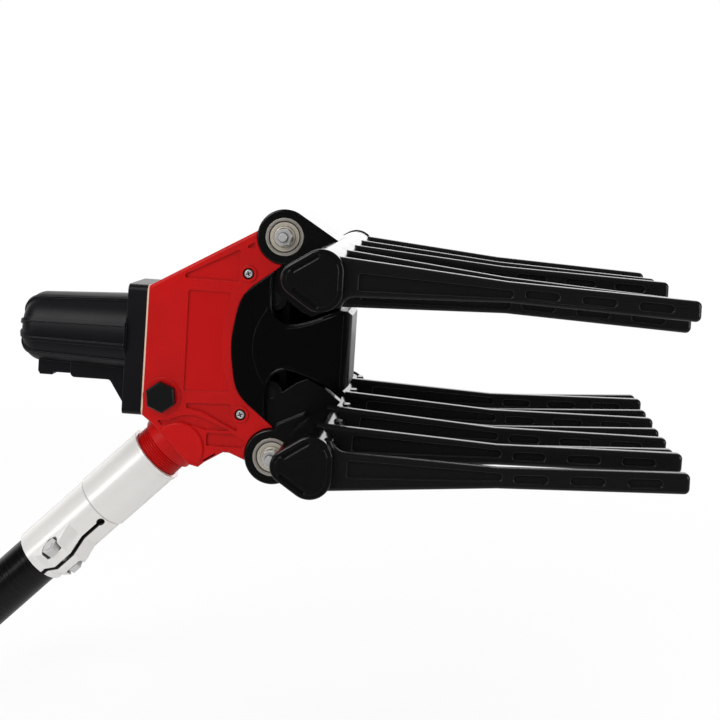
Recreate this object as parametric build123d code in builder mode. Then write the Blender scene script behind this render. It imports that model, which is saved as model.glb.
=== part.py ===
from build123d import *
import os
from math import cos, radians, sin

os.makedirs("parts", exist_ok=True)

# Overall layout, millimetres
POLE_ANGLE = 45.0
POLE_REACH = 275.8
PIVOT_X = 85.0
PIVOT_Z = 70.0

# Housing
BODY_HALF = 22.0
BODY_TOP = 33.4
BODY_BOTTOM = -50.4
FLANGE_THICK = 12.5
GASKET_THICK = 1.0
PRONG_HALF = 11.7
PRONG_EYE_R = 13.0
POCKET_DEPTH = 1.6
PANEL_DEPTH = 1.0
BOSS_X = 24.3
BOSS_Z = -69.2
BOSS_R = 16.5
BOSS_RISE = 1.4
BOSS_ROUND = 1.2

# Air cylinder
BORE_R = 18.0
LINER_WALL = 3.0
LINER_REAR = -62.0
LINER_FRONT = 4.0
ROD_R = 6.0
BUSH_R = 10.0
RUN_FIT = 0.05
SLIDE_GAP = 0.3

# Comb pivots
EYE_R = 17.5
ARM_HALF = 25.0
ARM_INNER = 12.2
LEVER_HALF = 19.4
EYE_GAP = 0.6
LEVER_LENGTH = 40.0
LEVER_LEAN = -6.0
PIN_R = 3.5
SLOT_GAP = 0.2
BEARING_R = 12.0
BEARING_WIDTH = 7.0
BEARING_BORE_R = 4.5
RACE_OUT_R = 10.4
RACE_IN_R = 6.7
BALL_R = 2.1
BALL_COUNT = 7
BOLT_R = 3.0
BOLT_HOLE_R = 3.2
NUT_AF = 10.0
NUT_HEIGHT = 5.0
COLLAR_R = 6.25
COLLAR_THICK = 1.2

# Comb bars and tines
BAR_FRONT = 132.3
BAR_LIP = 0.8
BAR_WALL = 3.0
CAP_OUTER = 116.3
CAP_PLATE = 5.0
CAP_PLUG = 8.0
CAP_FIT = 0.15
TINE_COUNT = 9
TINE_MARGIN = 9.9
TINE_THICK = 7.6
TINE_TIP = 331.0
TINE_BEND = 224.0
ROW_STEP = 8.6
TANG_FIT = 0.15
RECESS_DEPTH = 1.7
RECESS_CORNER = 2.1

# Pole, spigot and clamp
POLE_R = 16.5
POLE_BORE_R = 13.5
POLE_TOP = 140.0
POLE_FREE = 60.0
CLAMP_END = 61.0
CLAMP_STEP = 115.8
CLAMP_TOP = 163.6
CLAMP_R = 19.4
CLAMP_LOW_R = 18.7
EAR_START = 63.0
EAR_LOW = 73.0
EAR_HIGH = 86.5
EAR_END = 97.5
EAR_REACH = 25.6
EAR_HALF = 12.5
SLIT_WIDTH = 2.4
SLIT_TURN = 29.0
SPIGOT_R = 17.5
SPIGOT_END = 145.0
SPIGOT_COLLAR = 173.8
THREAD_PITCH = 1.55
THREAD_DEPTH = 0.8

# Air valve and plug
VALVE_X = 12.1
VALVE_Z = -36.9
SLEEVE_R = 8.0
SPOOL_R = 4.5
PLUG_AF = 17.5

# Cover
COVER_HALF = 23.0
COVER_WALL = 2.4
COVER_FRONT = 130.5
SEAM = 0.3
SCREW_X = 63.1
SCREW_Z = 45.0

HEAD_X = POLE_REACH * cos(radians(POLE_ANGLE)) - PIVOT_X
HEAD_Z = POLE_REACH * sin(radians(POLE_ANGLE))
POLE_DIR = (cos(radians(POLE_ANGLE)), 0, sin(radians(POLE_ANGLE)))
POLE_AXIS = Axis((0, 0, 0), POLE_DIR)
POLE_PROFILE = Plane(origin=(0, 0, 0), x_dir=POLE_DIR, z_dir=(0, -1, 0))
HEAD_AXIS = Axis((HEAD_X, 0, HEAD_Z), (1, 0, 0))
MID = Plane(origin=(HEAD_X, 0, HEAD_Z), x_dir=(1, 0, 0), z_dir=(0, 0, 1))
CENTRE = Plane(origin=(HEAD_X, 0, HEAD_Z), x_dir=(1, 0, 0), z_dir=(0, 1, 0))
PIN_X = PIVOT_X + LEVER_LENGTH * sin(radians(LEVER_LEAN))
PIN_Z = PIVOT_Z - LEVER_LENGTH * cos(radians(LEVER_LEAN))

# Shared small sizes
THREAD_TEETH = int((SPIGOT_COLLAR - SPIGOT_END) / THREAD_PITCH)
SPIGOT_BORE_R = 7.0
PLUG_RING_R = 12.2
SCREW_RING_R = 5.3
SCREW_RECESS_R = 3.6
SCREW_RECESS = 2.0
SCREW_SHANK_R = 2.0
RING_RISE = 0.8
BUSH_FRONT = 44.0
VALVE_FAR = 17.0
PORT_R = 2.2
PORT_Y = 6.0
PORT_Z = -25.5
CAP_SCREW_R = 2.5
CAP_SCREW_Y = 15.5
CAP_SCREW_HIGH = 27.0
CAP_SCREW_LOW = VALVE_Z + SLEEVE_R + CAP_SCREW_R + 1.0
CAP_SCREWS = [
    (CAP_SCREW_Y, CAP_SCREW_HIGH),
    (-CAP_SCREW_Y, CAP_SCREW_HIGH),
    (CAP_SCREW_Y, CAP_SCREW_LOW),
    (-CAP_SCREW_Y, CAP_SCREW_LOW),
]
TAB_IN = 15.6
TAB_OUT = 19.6

# Rear cap
CAP_END = -85.2
CAP_ROUND = 13.0
BARREL_R = 26.6
BARREL_END_R = 24.0
RIB_ANGLES = [62, 17, -14, -42, 118, 163, 194, 222]
RIB_RISE = 1.2
RIB_HALF = 1.2
RIB_FOOT = 6.0
BOX_FLOOR = -30.8
BOX_ROUND = 3.0
BOX_HALF = 10.5
FOOT_HALF = 9.0
FLANGE_CORNER = 4.0
FLANGE_REAR = -GASKET_THICK - FLANGE_THICK
REAR_CHAMBER = 5.0
CAP_HEAD_R = 4.25
CAP_HEAD_DEPTH = 6.0

# Piston group
SEAL_FRONT = 10.0
PISTON_REAR = -54.0
PISTON_LENGTH = 18.0
PISTON_GROOVES = [3.0, 11.8]
SEAL_WIDTH = 3.2
SEAL_DEPTH = 3.0
ROD_END_R = 4.0
ROD_NUT_HEIGHT = 5.0
ROD_SCREW = 12.0
HEAD_BACK = 8.0
CROSS_HALF = 9.0
CROSS_REACH = 38.0

# Small fasteners and valve pieces
SCREW_HEAD_R = 2.8
SCREW_SEAT = BODY_HALF + RING_RISE - SCREW_RECESS
BOLT_HEAD = 4.0
BOLT_TAIL = 2.2
NUT_TURN = 12.0
PLUG_TURN = 38.0
PLUG_HEAD = 4.5
SLEEVE_NEAR = 14.5
SPOOL_HALF = 9.0
SPOOL_FIT = 0.03
BALL_PITCH_R = 0.5 * (RACE_OUT_R + RACE_IN_R)

# Comb bar section, before its corners are rounded
BAR_TRIANGLE = [(89.0, 52.8), (BAR_FRONT, 80.9), (BAR_FRONT, 23.5)]
BAR_NOSE_R = 9.8
BAR_CORNER_R = 12.7

# Front cover outlines, as seen from the side
PANEL_RISE = 0.8
NOSE_ROUND = 6.0
COVER_SEAM = [
    (79.6, 48.1),
    (72.1, 41.6),
    (60.8, 30.5),
    (56.6, 16.0),
    (54.9, 0.0),
    (56.6, -16.0),
    (60.8, -30.5),
    (72.1, -41.6),
    (79.6, -48.1),
]
COVER_UPPER = [
    (79.6, 48.1),
    (78.8, 36.0),
    (79.2, 24.6),
    (81.4, 19.8),
    (85.0, 16.2),
    (90.1, 14.4),
    (97.0, 15.4),
]
COVER_NOSE = [(105.7, 18.2), (122.0, 25.2), (127.6, 25.2), (COVER_FRONT, 22.4)]
COVER_CLOSED = [
    (79.6, 48.1),
    (81.6, 40.0),
    (87.0, 38.2),
    (99.0, 37.6),
    (106.0, 36.0),
    (113.0, 31.6),
    (118.0, 26.6),
]
COVER_NEAR_EDGE = COVER_UPPER + COVER_NOSE
COVER_FAR_EDGE = COVER_CLOSED + COVER_NOSE[1:]
NOSE_UPPER = [(113.0, 21.3)] + COVER_NOSE[1:]
NOSE_POINTS = NOSE_UPPER + [(x, -z) for x, z in reversed(NOSE_UPPER)]
NOSE_INNER = [(113.0, 18.6), (122.6, 22.6), (126.6, 22.6), (COVER_FRONT - COVER_WALL, 21.2)]
NOSE_HOLLOW = NOSE_INNER + [(x, -z) for x, z in reversed(NOSE_INNER)]
PANEL_CURVE = [(76.8, 24.0), (71.2, 14.0), (68.4, 0.0), (71.2, -14.0), (76.8, -24.0)]
PANEL_HALF_EDGE = [
    (76.8, 24.0),
    (79.4, 18.6),
    (84.0, 14.2),
    (90.3, 12.2),
    (96.8, 13.2),
    (105.0, 15.8),
    (121.4, 22.8),
]
PANEL_LOWER_EDGE = [(x, -z) for x, z in reversed(PANEL_HALF_EDGE)]
PANEL_EDGE = PANEL_HALF_EDGE + [(125.2, 22.8)] + [(125.2, -22.8)] + PANEL_LOWER_EDGE

# Arm outlines of the upper comb, as seen from the side
HOOD_THICK = 3.2
HOOD_LEAN = 58.9
HOOD_START = (PIVOT_X + EYE_R * cos(radians(HOOD_LEAN)), PIVOT_Z + EYE_R * sin(radians(HOOD_LEAN)))
HOOD_END = (123.5, 66.9)
HOOD_UNDER_START = (
    HOOD_START[0] - HOOD_THICK * cos(radians(HOOD_LEAN)),
    HOOD_START[1] - HOOD_THICK * sin(radians(HOOD_LEAN)),
)
HOOD_UNDER_END = (121.8, 64.1)
WEB_POINTS = [HOOD_START, HOOD_END, (118.0, 50.0), (104.0, 41.0), (86.5, 49.5), (PIVOT_X, PIVOT_Z)]
GUSSET_POINTS = [
    (82.0, 33.0),
    (87.0, 30.5),
    (98.0, 22.5),
    (104.5, 19.8),
    (114.0, 24.2),
    (126.0, 33.0),
    (118.0, 44.0),
    (104.0, 48.0),
    (98.0, 52.0),
    (PIVOT_X, 60.0),
]
LEVER_TOP_R = 9.0
LEVER_END_R = 7.5
BEARING_SHOULDER_R = 10.4
ARM_ROUND = 1.2
SHIELD_SET = 0.5
SHIELD_THICK = 0.5

# Bar fittings
BAR_HALF = CAP_OUTER - CAP_PLATE
TINE_PITCH = 2 * (CAP_OUTER - TINE_MARGIN) / (TINE_COUNT - 1)
BAR_SCREW_END = 86.0
BAR_SCREW_Y = 15.0
BAR_SCREW_Z = 52.5
BAR_SCREW_R = 2.5
CAP_ROUND_R = 1.4
CAP_PANEL_RISE = 0.7
CAP_PANEL_INSET = 3.0
CAP_GROOVE_DEPTH = 1.8
CAP_GROOVE_LENGTH = 18.0
CAP_GROOVE_WIDTH = 2.6
CAP_GROOVES = [(110.2, 61.7, 33.0), (111.2, 42.6, -34.0)]

# Tine outline in the outer row, as seen from the side
ROOT_X = 119.0
TINE_FIRST = 0.5 * (TINE_COUNT - 1) * TINE_PITCH
TINE_OUT_ROOT = 67.1
TINE_IN_ROOT = 43.1
TINE_OUT_BEND = 58.0
TINE_IN_BEND = 46.3
TINE_OUT_TIP = 53.8
TINE_IN_TIP = 42.0
TIP_SLOPE = (TINE_OUT_BEND - TINE_OUT_TIP) / (TINE_TIP - TINE_BEND)
FLARE_X = 131.0
FLARE_END = 139.0
FLARE_Z = 37.4
FLARE_R = 8.2
FLARE_TOP = TINE_IN_ROOT + (TINE_IN_BEND - TINE_IN_ROOT) * (FLARE_END - ROOT_X) / (TINE_BEND - ROOT_X)
TANG_Z = 54.5
TANG_HALF = 5.0
TANG_THICK = 2.5
TANG_END = 120.3
TIP_ROUND = 3.2
TINE_ROUND = 2.6
RECESS_START = 140.0
RECESS_END = TINE_BEND + 3.0
LONG_RECESS = [(RECESS_START, 47.6), (RECESS_START, 57.8), (RECESS_END, 53.4), (RECESS_END, 48.8)]
OVAL_START = TINE_BEND + 19.0
OVAL_STEP = 0.5 * (TINE_TIP - OVAL_START - 24.8)
OVAL_PLACES = [OVAL_START, OVAL_START + OVAL_STEP, OVAL_START + 2 * OVAL_STEP]
OVAL_Z = 0.5 * (TINE_OUT_BEND + TINE_IN_BEND)
OVAL_LENGTH = 0.617 * OVAL_STEP
OVAL_HEIGHT = 5.0
OVAL_TILT = 2.3

# Lean of each tine about its root, nearest first, outward from the gap between the combs
UPPER_LEANS = [0.2, -0.1, -1.1, 0.0, 0.4, 0.0, -0.3, 0.0, -0.4]
LOWER_LEANS = [-0.2, 0.9, -0.5, 1.7, -0.8, 1.3, -1.2, 0.5, -1.4]

# Clamp ear: outward direction, direction across the slit and the plane of the slit
POLE_FIT = 0.1
POLE_SEAT_R = POLE_R - 0.3
SPIGOT_SEAL = 2.0
EAR_OUT = (
    sin(radians(SLIT_TURN)) * POLE_DIR[2],
    -cos(radians(SLIT_TURN)),
    -sin(radians(SLIT_TURN)) * POLE_DIR[0],
)
EAR_PLANE = Plane(origin=(0, 0, 0), x_dir=POLE_DIR, z_dir=Vector(*POLE_DIR).cross(Vector(*EAR_OUT)))
EAR_ACROSS = EAR_PLANE.z_dir
EAR_FOOT = (EAR_START * POLE_DIR[0], 0, EAR_START * POLE_DIR[2])
SLIT_TOP = 112.0
SLIT_HOLE = (SLIT_TOP * POLE_DIR[0], 0, SLIT_TOP * POLE_DIR[2])
SLIT_HOLE_R = 2.6
CLAMP_BOLT_P = 79.6
CLAMP_BOLT_OUT = 20.3
CLAMP_BOLT_AT = (
    CLAMP_BOLT_P * POLE_DIR[0] + CLAMP_BOLT_OUT * EAR_OUT[0],
    CLAMP_BOLT_OUT * EAR_OUT[1],
    CLAMP_BOLT_P * POLE_DIR[2] + CLAMP_BOLT_OUT * EAR_OUT[2],
)
BOLT_SEAT = 8.0
BOLT_POCKET = 12.0
POCKET_ROUND = 3.0

# Room swept by a drive lever, as seen from the side
LEVER_SWEEP = [(68.5, 20.0), (68.5, 34.0), (70.5, 48.0), (72.5, 61.0), (92.0, 61.0), (92.0, 20.0)]

# Fixing tab of the cover, as seen from the side
TAB_POINTS = [(58.2, 50.2), (66.8, 50.2), (66.8, 27.0), (61.5, 27.0), (58.2, 38.0)]

# Saw-tooth outline of the spigot thread, along the pole and out from its axis
THREAD_ROOT = SPIGOT_R - THREAD_DEPTH
THREAD_OUTLINE = [(SPIGOT_COLLAR + 1, 0), (SPIGOT_END, 0), (SPIGOT_END, THREAD_ROOT)]
for tooth in range(THREAD_TEETH):
    THREAD_OUTLINE.append((SPIGOT_END + (tooth + 0.5) * THREAD_PITCH, SPIGOT_R))
    THREAD_OUTLINE.append((SPIGOT_END + (tooth + 1.0) * THREAD_PITCH, THREAD_ROOT))
THREAD_OUTLINE.append((SPIGOT_COLLAR + 1, THREAD_ROOT))

# Field that the round boss over the spigot may cover, inside the rounded rim of the housing
BOSS_FIELD = [(8.2, -54.6), (31.4, -76.6), (38.2, -78.0), (50.0, -68.6), (50.0, -45.0), (8.2, -45.0)]

# Shallow recesses in the housing faces, each with its depth and corner radius
POCKETS = [
    ([(22.6, 42.4), (57.2, 60.4), (57.2, 39.3), (23.0, 39.7)], POCKET_DEPTH, 1.2),
    ([(59.8, 61.6), (66.5, 65.4), (66.8, 61.0)], POCKET_DEPTH, 0.8),
    (
        [(25.4, 32.4), (53.3, 32.0), (49.6, 15.0), (48.4, 0.0), (49.8, -14.0), (55.6, -31.0), (25.8, -32.6)],
        PANEL_DEPTH,
        1.5,
    ),
    (
        [(28.0, -40.0), (56.8, -38.8), (57.2, -48.0), (65.5, -58.0), (39.0, -45.3), (28.0, -43.2)],
        POCKET_DEPTH,
        1.2,
    ),
    ([(42.0, -58.2), (60.4, -58.0), (68.4, -62.0), (66.0, -66.4), (42.3, -66.6)], POCKET_DEPTH, 1.2),
    (
        [
            (9.6, -52.2),
            (16.5, -52.0),
            (21.0, -49.6),
            (27.0, -47.8),
            (34.0, -47.6),
            (41.5, -49.8),
            (58.0, -56.0),
            (42.0, -56.6),
            (35.0, -54.9),
            (26.5, -53.2),
            (20.0, -54.0),
            (13.0, -55.6),
        ],
        POCKET_DEPTH,
        0.5,
    ),
]

# Curve where the housing meets the front cover
SEAM_POINTS = [
    (87.0, 55.2),
    (71.7, 41.8),
    (60.4, 30.6),
    (56.2, 16.0),
    (54.5, 0.0),
    (56.2, -16.0),
    (60.4, -30.6),
    (71.7, -41.8),
    (87.0, -55.2),
]


def side(near=0.0):
    """Upright plane facing the near side, its x along the head and its y up."""
    return Plane(origin=(HEAD_X, -near, HEAD_Z), x_dir=(1, 0, 0), z_dir=(0, -1, 0))


def far_side(far=0.0):
    """Upright plane facing the far side, its x running back along the head."""
    return Plane(origin=(HEAD_X, far, HEAD_Z), x_dir=(-1, 0, 0), z_dir=(0, 1, 0))


def across(x):
    """Plane square to the cylinder axis, its x towards the far side and its y up."""
    return Plane(origin=(HEAD_X + x, 0, HEAD_Z), x_dir=(0, 1, 0), z_dir=(1, 0, 0))


def along_pole(p, turn=0.0):
    """Plane square to the pole, p millimetres up from its lower end."""
    base = Plane(
        origin=(p * POLE_DIR[0], 0, p * POLE_DIR[2]), x_dir=(0, -1, 0), z_dir=POLE_DIR
    )
    return base.rotated((0, 0, turn))


def leaned(near, drop, lean):
    """Near-side plane turned about the root of a tine."""
    run = cos(radians(lean))
    rise = sin(radians(lean))
    height = TANG_Z - drop
    origin = (
        HEAD_X + BAR_FRONT * (1 - run) + height * rise,
        -near,
        HEAD_Z + height * (1 - run) - BAR_FRONT * rise,
    )
    return Plane(origin=origin, x_dir=(run, 0, rise), z_dir=(0, -1, 0))


def radial(angle):
    """Plane through the cylinder axis, its y leaning up from the near side by an angle."""
    lean = radians(angle)
    return Plane(origin=(HEAD_X, 0, HEAD_Z), x_dir=(1, 0, 0), z_dir=(0, -sin(lean), -cos(lean)))


def bar_outline(plane, inset):
    """Rounded triangle of the comb bar, drawn in by an even inset."""
    with BuildSketch(plane) as outline:
        with BuildLine():
            Polyline(*BAR_TRIANGLE, close=True)
        make_face()
        fillet(outline.vertices().sort_by(Axis.X)[-2:], BAR_CORNER_R)
        fillet(outline.vertices().sort_by(Axis.X)[:1], BAR_NOSE_R)
        if inset:
            offset(amount=-inset, mode=Mode.REPLACE)
    return outline.sketch


def save(builder, label):
    """Name a finished piece and write it out."""
    builder.part.label = label
    export_step(builder.part, f"parts/{label}.step")


# Housing
with BuildPart() as main_body:
    with BuildSketch(side()):
        with BuildLine():
            Spline(*SEAM_POINTS)
            Polyline(
                (87.0, -55.2),
                (86.0, -74.0),
                (66.5, -74.0),
                (57.0, -70.3),
                (53.0, -70.3),
                (41.5, -77.4),
                (37.4, -80.9),
                (31.0, -79.5),
                (6.3, -55.0),
                (0.0, BODY_BOTTOM),
                (0.0, BODY_TOP),
                (68.0, 73.2),
                (86.0, 74.0),
                (87.0, 55.2),
            )
        make_face()
    extrude(amount=BODY_HALF, both=True)
    rims = main_body.edges().filter_by(lambda e: abs(abs(e.center().Y) - BODY_HALF) < 0.01)
    fillet(rims.filter_by(lambda e: 0.5 < e.center().X - HEAD_X < 70 and e.geom_type == GeomType.LINE), 2.0)
    # Round boss and threaded spigot for the pole clamp
    with BuildSketch(along_pole(SPIGOT_COLLAR)):
        Circle(SPIGOT_R + 2.0)
    extrude(amount=32)
    with BuildSketch(POLE_PROFILE):
        with BuildLine():
            Polyline(*THREAD_OUTLINE, close=True)
        make_face()
    revolve(axis=POLE_AXIS)
    # Relief for the arm eyes and the drive levers, leaving the middle prongs
    for plane in (side(PRONG_HALF), far_side(PRONG_HALF)):
        turn = plane.x_dir.X
        with BuildSketch(plane):
            with Locations((turn * PIVOT_X, PIVOT_Z), (turn * PIVOT_X, -PIVOT_Z)):
                Circle(EYE_R + EYE_GAP)
        extrude(amount=BODY_HALF, mode=Mode.SUBTRACT)
        with BuildSketch(plane):
            with BuildLine():
                Polyline(*[(turn * x, z) for x, z in LEVER_SWEEP], close=True)
            make_face()
            with BuildLine():
                Polyline(*[(turn * x, -z) for x, z in LEVER_SWEEP], close=True)
            make_face()
        extrude(amount=LEVER_HALF + EYE_GAP - PRONG_HALF, mode=Mode.SUBTRACT)
    with BuildSketch(side()):
        with Locations((PIVOT_X, PIVOT_Z), (PIVOT_X, -PIVOT_Z)):
            Circle(PRONG_EYE_R)
    extrude(amount=PRONG_HALF, both=True)
    with BuildSketch(side()):
        with Locations((PIVOT_X, PIVOT_Z), (PIVOT_X, -PIVOT_Z)):
            Circle(COLLAR_R)
    extrude(amount=ARM_HALF - BEARING_WIDTH, both=True)
    # Shallow pockets in both faces
    for points, depth, radius in POCKETS:
        for plane in (side(BODY_HALF), far_side(BODY_HALF)):
            with BuildSketch(plane) as outline:
                with BuildLine():
                    Polyline(*[(plane.x_dir.X * x, z) for x, z in points], close=True)
                make_face()
                fillet(outline.vertices(), radius)
            extrude(amount=-depth, mode=Mode.SUBTRACT)
    # Round boss over the spigot
    for plane in (side(BODY_HALF - POCKET_DEPTH), far_side(BODY_HALF - POCKET_DEPTH)):
        turn = plane.x_dir.X
        with BuildSketch(plane):
            with Locations((turn * BOSS_X, BOSS_Z)):
                Circle(BOSS_R)
            with BuildLine():
                Polyline(*[(turn * x, z) for x, z in BOSS_FIELD], close=True)
            make_face(mode=Mode.INTERSECT)
        extrude(amount=POCKET_DEPTH + BOSS_RISE)
    boss_tops = main_body.faces().filter_by(lambda f: abs(abs(f.center().Y) - BODY_HALF - BOSS_RISE) < 0.01)
    fillet(boss_tops.edges().filter_by(GeomType.CIRCLE), BOSS_ROUND)
    # Raised rings round the plug and the cover screws
    with BuildSketch(side(BODY_HALF)):
        with Locations((VALVE_X, VALVE_Z)):
            Circle(PLUG_RING_R)
    extrude(amount=RING_RISE)
    with BuildSketch(side(BODY_HALF - POCKET_DEPTH)):
        with Locations((SCREW_X, SCREW_Z), (SCREW_X, -SCREW_Z)):
            Circle(SCREW_RING_R)
    extrude(amount=POCKET_DEPTH + RING_RISE)
    # Cylinder bore, bush seat and rod hole
    with BuildSketch(across(0)):
        Circle(BORE_R + LINER_WALL)
    extrude(amount=LINER_FRONT + 2.0, mode=Mode.SUBTRACT)
    with BuildSketch(across(0)):
        Circle(BUSH_R)
    extrude(amount=BUSH_FRONT, mode=Mode.SUBTRACT)
    with BuildSketch(across(0)):
        Circle(ROD_R + SLIDE_GAP)
    extrude(amount=70, mode=Mode.SUBTRACT)
    # Valve bore and the drilled air ways
    with BuildSketch(side(BODY_HALF + RING_RISE)):
        with Locations((VALVE_X, VALVE_Z)):
            Circle(SLEEVE_R)
    extrude(amount=-(BODY_HALF + RING_RISE + VALVE_FAR), mode=Mode.SUBTRACT)
    with BuildSketch(Plane(origin=(HEAD_X + VALVE_X, PORT_Y, HEAD_Z + VALVE_Z), z_dir=(0, 0, 1))):
        Circle(PORT_R)
    extrude(amount=PORT_Z - VALVE_Z + PORT_R, mode=Mode.SUBTRACT)
    with BuildSketch(across(0)):
        with Locations((PORT_Y, PORT_Z)):
            Circle(PORT_R)
    extrude(amount=VALVE_X, mode=Mode.SUBTRACT)
    with BuildSketch(Plane(origin=(HEAD_X + LINER_FRONT, -PORT_Y, HEAD_Z + VALVE_Z), z_dir=(0, 0, 1))):
        Circle(1.8)
    extrude(amount=20, mode=Mode.SUBTRACT)
    with BuildSketch(along_pole(SPIGOT_END)):
        Circle(SPIGOT_BORE_R)
    extrude(amount=55, mode=Mode.SUBTRACT)
    with BuildSketch(Plane(origin=(HEAD_X + VALVE_X, 0, HEAD_Z + VALVE_Z), z_dir=(1, 0, -1))):
        Circle(2.5)
    extrude(amount=26, mode=Mode.SUBTRACT)
    # Pivot holes
    with BuildSketch(side()):
        with Locations((PIVOT_X, PIVOT_Z), (PIVOT_X, -PIVOT_Z)):
            Circle(BOLT_HOLE_R)
    extrude(amount=ARM_HALF, both=True, mode=Mode.SUBTRACT)
    # Slots for the cover tabs, with the screw recesses over them
    with BuildSketch(side(TAB_IN - SEAM)):
        with BuildLine():
            Polyline(*TAB_POINTS, close=True)
        make_face()
        with BuildLine():
            Polyline(*[(x, -z) for x, z in TAB_POINTS], close=True)
        make_face()
        offset(amount=SEAM, kind=Kind.INTERSECTION)
    extrude(amount=TAB_OUT - TAB_IN + 2 * SEAM, mode=Mode.SUBTRACT)
    with BuildSketch(side(BODY_HALF + RING_RISE)):
        with Locations((SCREW_X, SCREW_Z), (SCREW_X, -SCREW_Z)):
            Circle(SCREW_RECESS_R)
    extrude(amount=-SCREW_RECESS, mode=Mode.SUBTRACT)
    with BuildSketch(side(BODY_HALF + RING_RISE)):
        with Locations((SCREW_X, SCREW_Z), (SCREW_X, -SCREW_Z)):
            Circle(SCREW_SHANK_R + 0.25)
    extrude(amount=-8, mode=Mode.SUBTRACT)
    # Threaded holes for the rear cap screws
    with BuildSketch(across(0)):
        with Locations(*CAP_SCREWS):
            Circle(CAP_SCREW_R)
    extrude(amount=16, mode=Mode.SUBTRACT)
    # Drain slit under the spigot boss
    with BuildSketch(side(BODY_HALF)):
        with BuildLine():
            Polyline((40.6, -75.9), (48.0, -70.9), (48.6, -71.8), (41.2, -76.8), close=True)
        make_face()
    extrude(amount=-5, mode=Mode.SUBTRACT)
save(main_body, "main_body")

# Cylinder liner, rod bush and rod seal
with BuildPart() as cylinder_liner:
    with BuildSketch(across(LINER_REAR)):
        Circle(BORE_R + LINER_WALL)
        Circle(BORE_R, mode=Mode.SUBTRACT)
    extrude(amount=LINER_FRONT - LINER_REAR)
save(cylinder_liner, "cylinder_liner")

with BuildPart() as rod_bush:
    with BuildSketch(across(SEAL_FRONT)):
        Circle(BUSH_R)
        Circle(ROD_R + RUN_FIT, mode=Mode.SUBTRACT)
    extrude(amount=BUSH_FRONT - SEAL_FRONT)
save(rod_bush, "rod_bush")

with BuildPart() as rod_seal:
    with BuildSketch(across(LINER_FRONT + 2.0)):
        Circle(BUSH_R)
        Circle(ROD_R + RUN_FIT, mode=Mode.SUBTRACT)
    extrude(amount=SEAL_FRONT - LINER_FRONT - 2.0)
save(rod_seal, "rod_seal")

# Ribbed rear cap with its flange, lower air way box and foot
with BuildPart() as rear_cap:
    with BuildSketch(side()):
        with BuildLine():
            Polyline(
                (CAP_END + RIB_RISE, BARREL_END_R - CAP_ROUND),
                (CAP_END + RIB_RISE, 0),
                (FLANGE_REAR, 0),
                (FLANGE_REAR, BARREL_R - RIB_RISE),
                (CAP_END + CAP_ROUND, BARREL_END_R - RIB_RISE),
            )
            RadiusArc(
                (CAP_END + CAP_ROUND, BARREL_END_R - RIB_RISE),
                (CAP_END + RIB_RISE, BARREL_END_R - CAP_ROUND),
                RIB_RISE - CAP_ROUND,
            )
        make_face()
    revolve(axis=HEAD_AXIS)
    for angle in RIB_ANGLES:
        with BuildSketch(radial(angle)):
            with BuildLine():
                Polyline(
                    (CAP_END, BARREL_END_R - CAP_ROUND),
                    (CAP_END, RIB_FOOT),
                    (FLANGE_REAR, RIB_FOOT),
                    (FLANGE_REAR, BARREL_R),
                    (CAP_END + CAP_ROUND, BARREL_END_R),
                )
                RadiusArc(
                    (CAP_END + CAP_ROUND, BARREL_END_R),
                    (CAP_END, BARREL_END_R - CAP_ROUND),
                    -CAP_ROUND,
                )
            make_face()
        extrude(amount=RIB_HALF, both=True)
    with BuildSketch(side()) as box_side:
        with BuildLine():
            Polyline(
                (-52.0, -17.0),
                (-51.4, BOX_FLOOR),
                (-25.5, BOX_FLOOR),
                (FLANGE_REAR, -49.2),
                (FLANGE_REAR, -17.0),
                close=True,
            )
        make_face()
        fillet(box_side.vertices().filter_by(lambda v: abs(v.Y - BOX_FLOOR) < 0.1), BOX_ROUND)
    extrude(amount=BOX_HALF, both=True)
    with BuildSketch(side()):
        with BuildLine():
            Polyline(
                (-73.4, -17.0),
                (-73.4, -28.2),
                (-72.0, -30.4),
                (-64.0, -30.4),
                (-63.2, -28.6),
                (-52.0, -28.6),
                (-51.0, -17.0),
                close=True,
            )
        make_face()
    extrude(amount=FOOT_HALF, both=True)
    with BuildSketch(across(FLANGE_REAR)):
        with Locations((0, 0.5 * (BODY_TOP + BODY_BOTTOM))):
            RectangleRounded(2 * BODY_HALF, BODY_TOP - BODY_BOTTOM, FLANGE_CORNER)
    extrude(amount=FLANGE_THICK)
    with BuildSketch(across(-GASKET_THICK)):
        Circle(BORE_R + LINER_WALL)
    extrude(amount=LINER_REAR + GASKET_THICK, mode=Mode.SUBTRACT)
    with BuildSketch(across(LINER_REAR)):
        Circle(BORE_R)
    extrude(amount=-REAR_CHAMBER, mode=Mode.SUBTRACT)
    with BuildSketch(across(-GASKET_THICK)):
        with Locations((PORT_Y, PORT_Z)):
            Circle(PORT_R)
    extrude(amount=LINER_REAR - 0.5 * REAR_CHAMBER, mode=Mode.SUBTRACT)
    port_top = Plane(
        origin=(HEAD_X + LINER_REAR - 0.5 * REAR_CHAMBER, PORT_Y, HEAD_Z + PORT_Z),
        z_dir=(0, 0, 1),
    )
    with BuildSketch(port_top):
        Circle(1.8)
    extrude(amount=12, mode=Mode.SUBTRACT)
    with BuildSketch(across(-GASKET_THICK)):
        with Locations(*CAP_SCREWS):
            Circle(CAP_SCREW_R + 0.3)
    extrude(amount=-FLANGE_THICK, mode=Mode.SUBTRACT)
    with BuildSketch(across(FLANGE_REAR + CAP_HEAD_DEPTH)):
        with Locations(*CAP_SCREWS):
            Circle(CAP_HEAD_R + 0.3)
    extrude(amount=-(CAP_HEAD_DEPTH + 6), mode=Mode.SUBTRACT)
save(rear_cap, "rear_cap")

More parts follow.
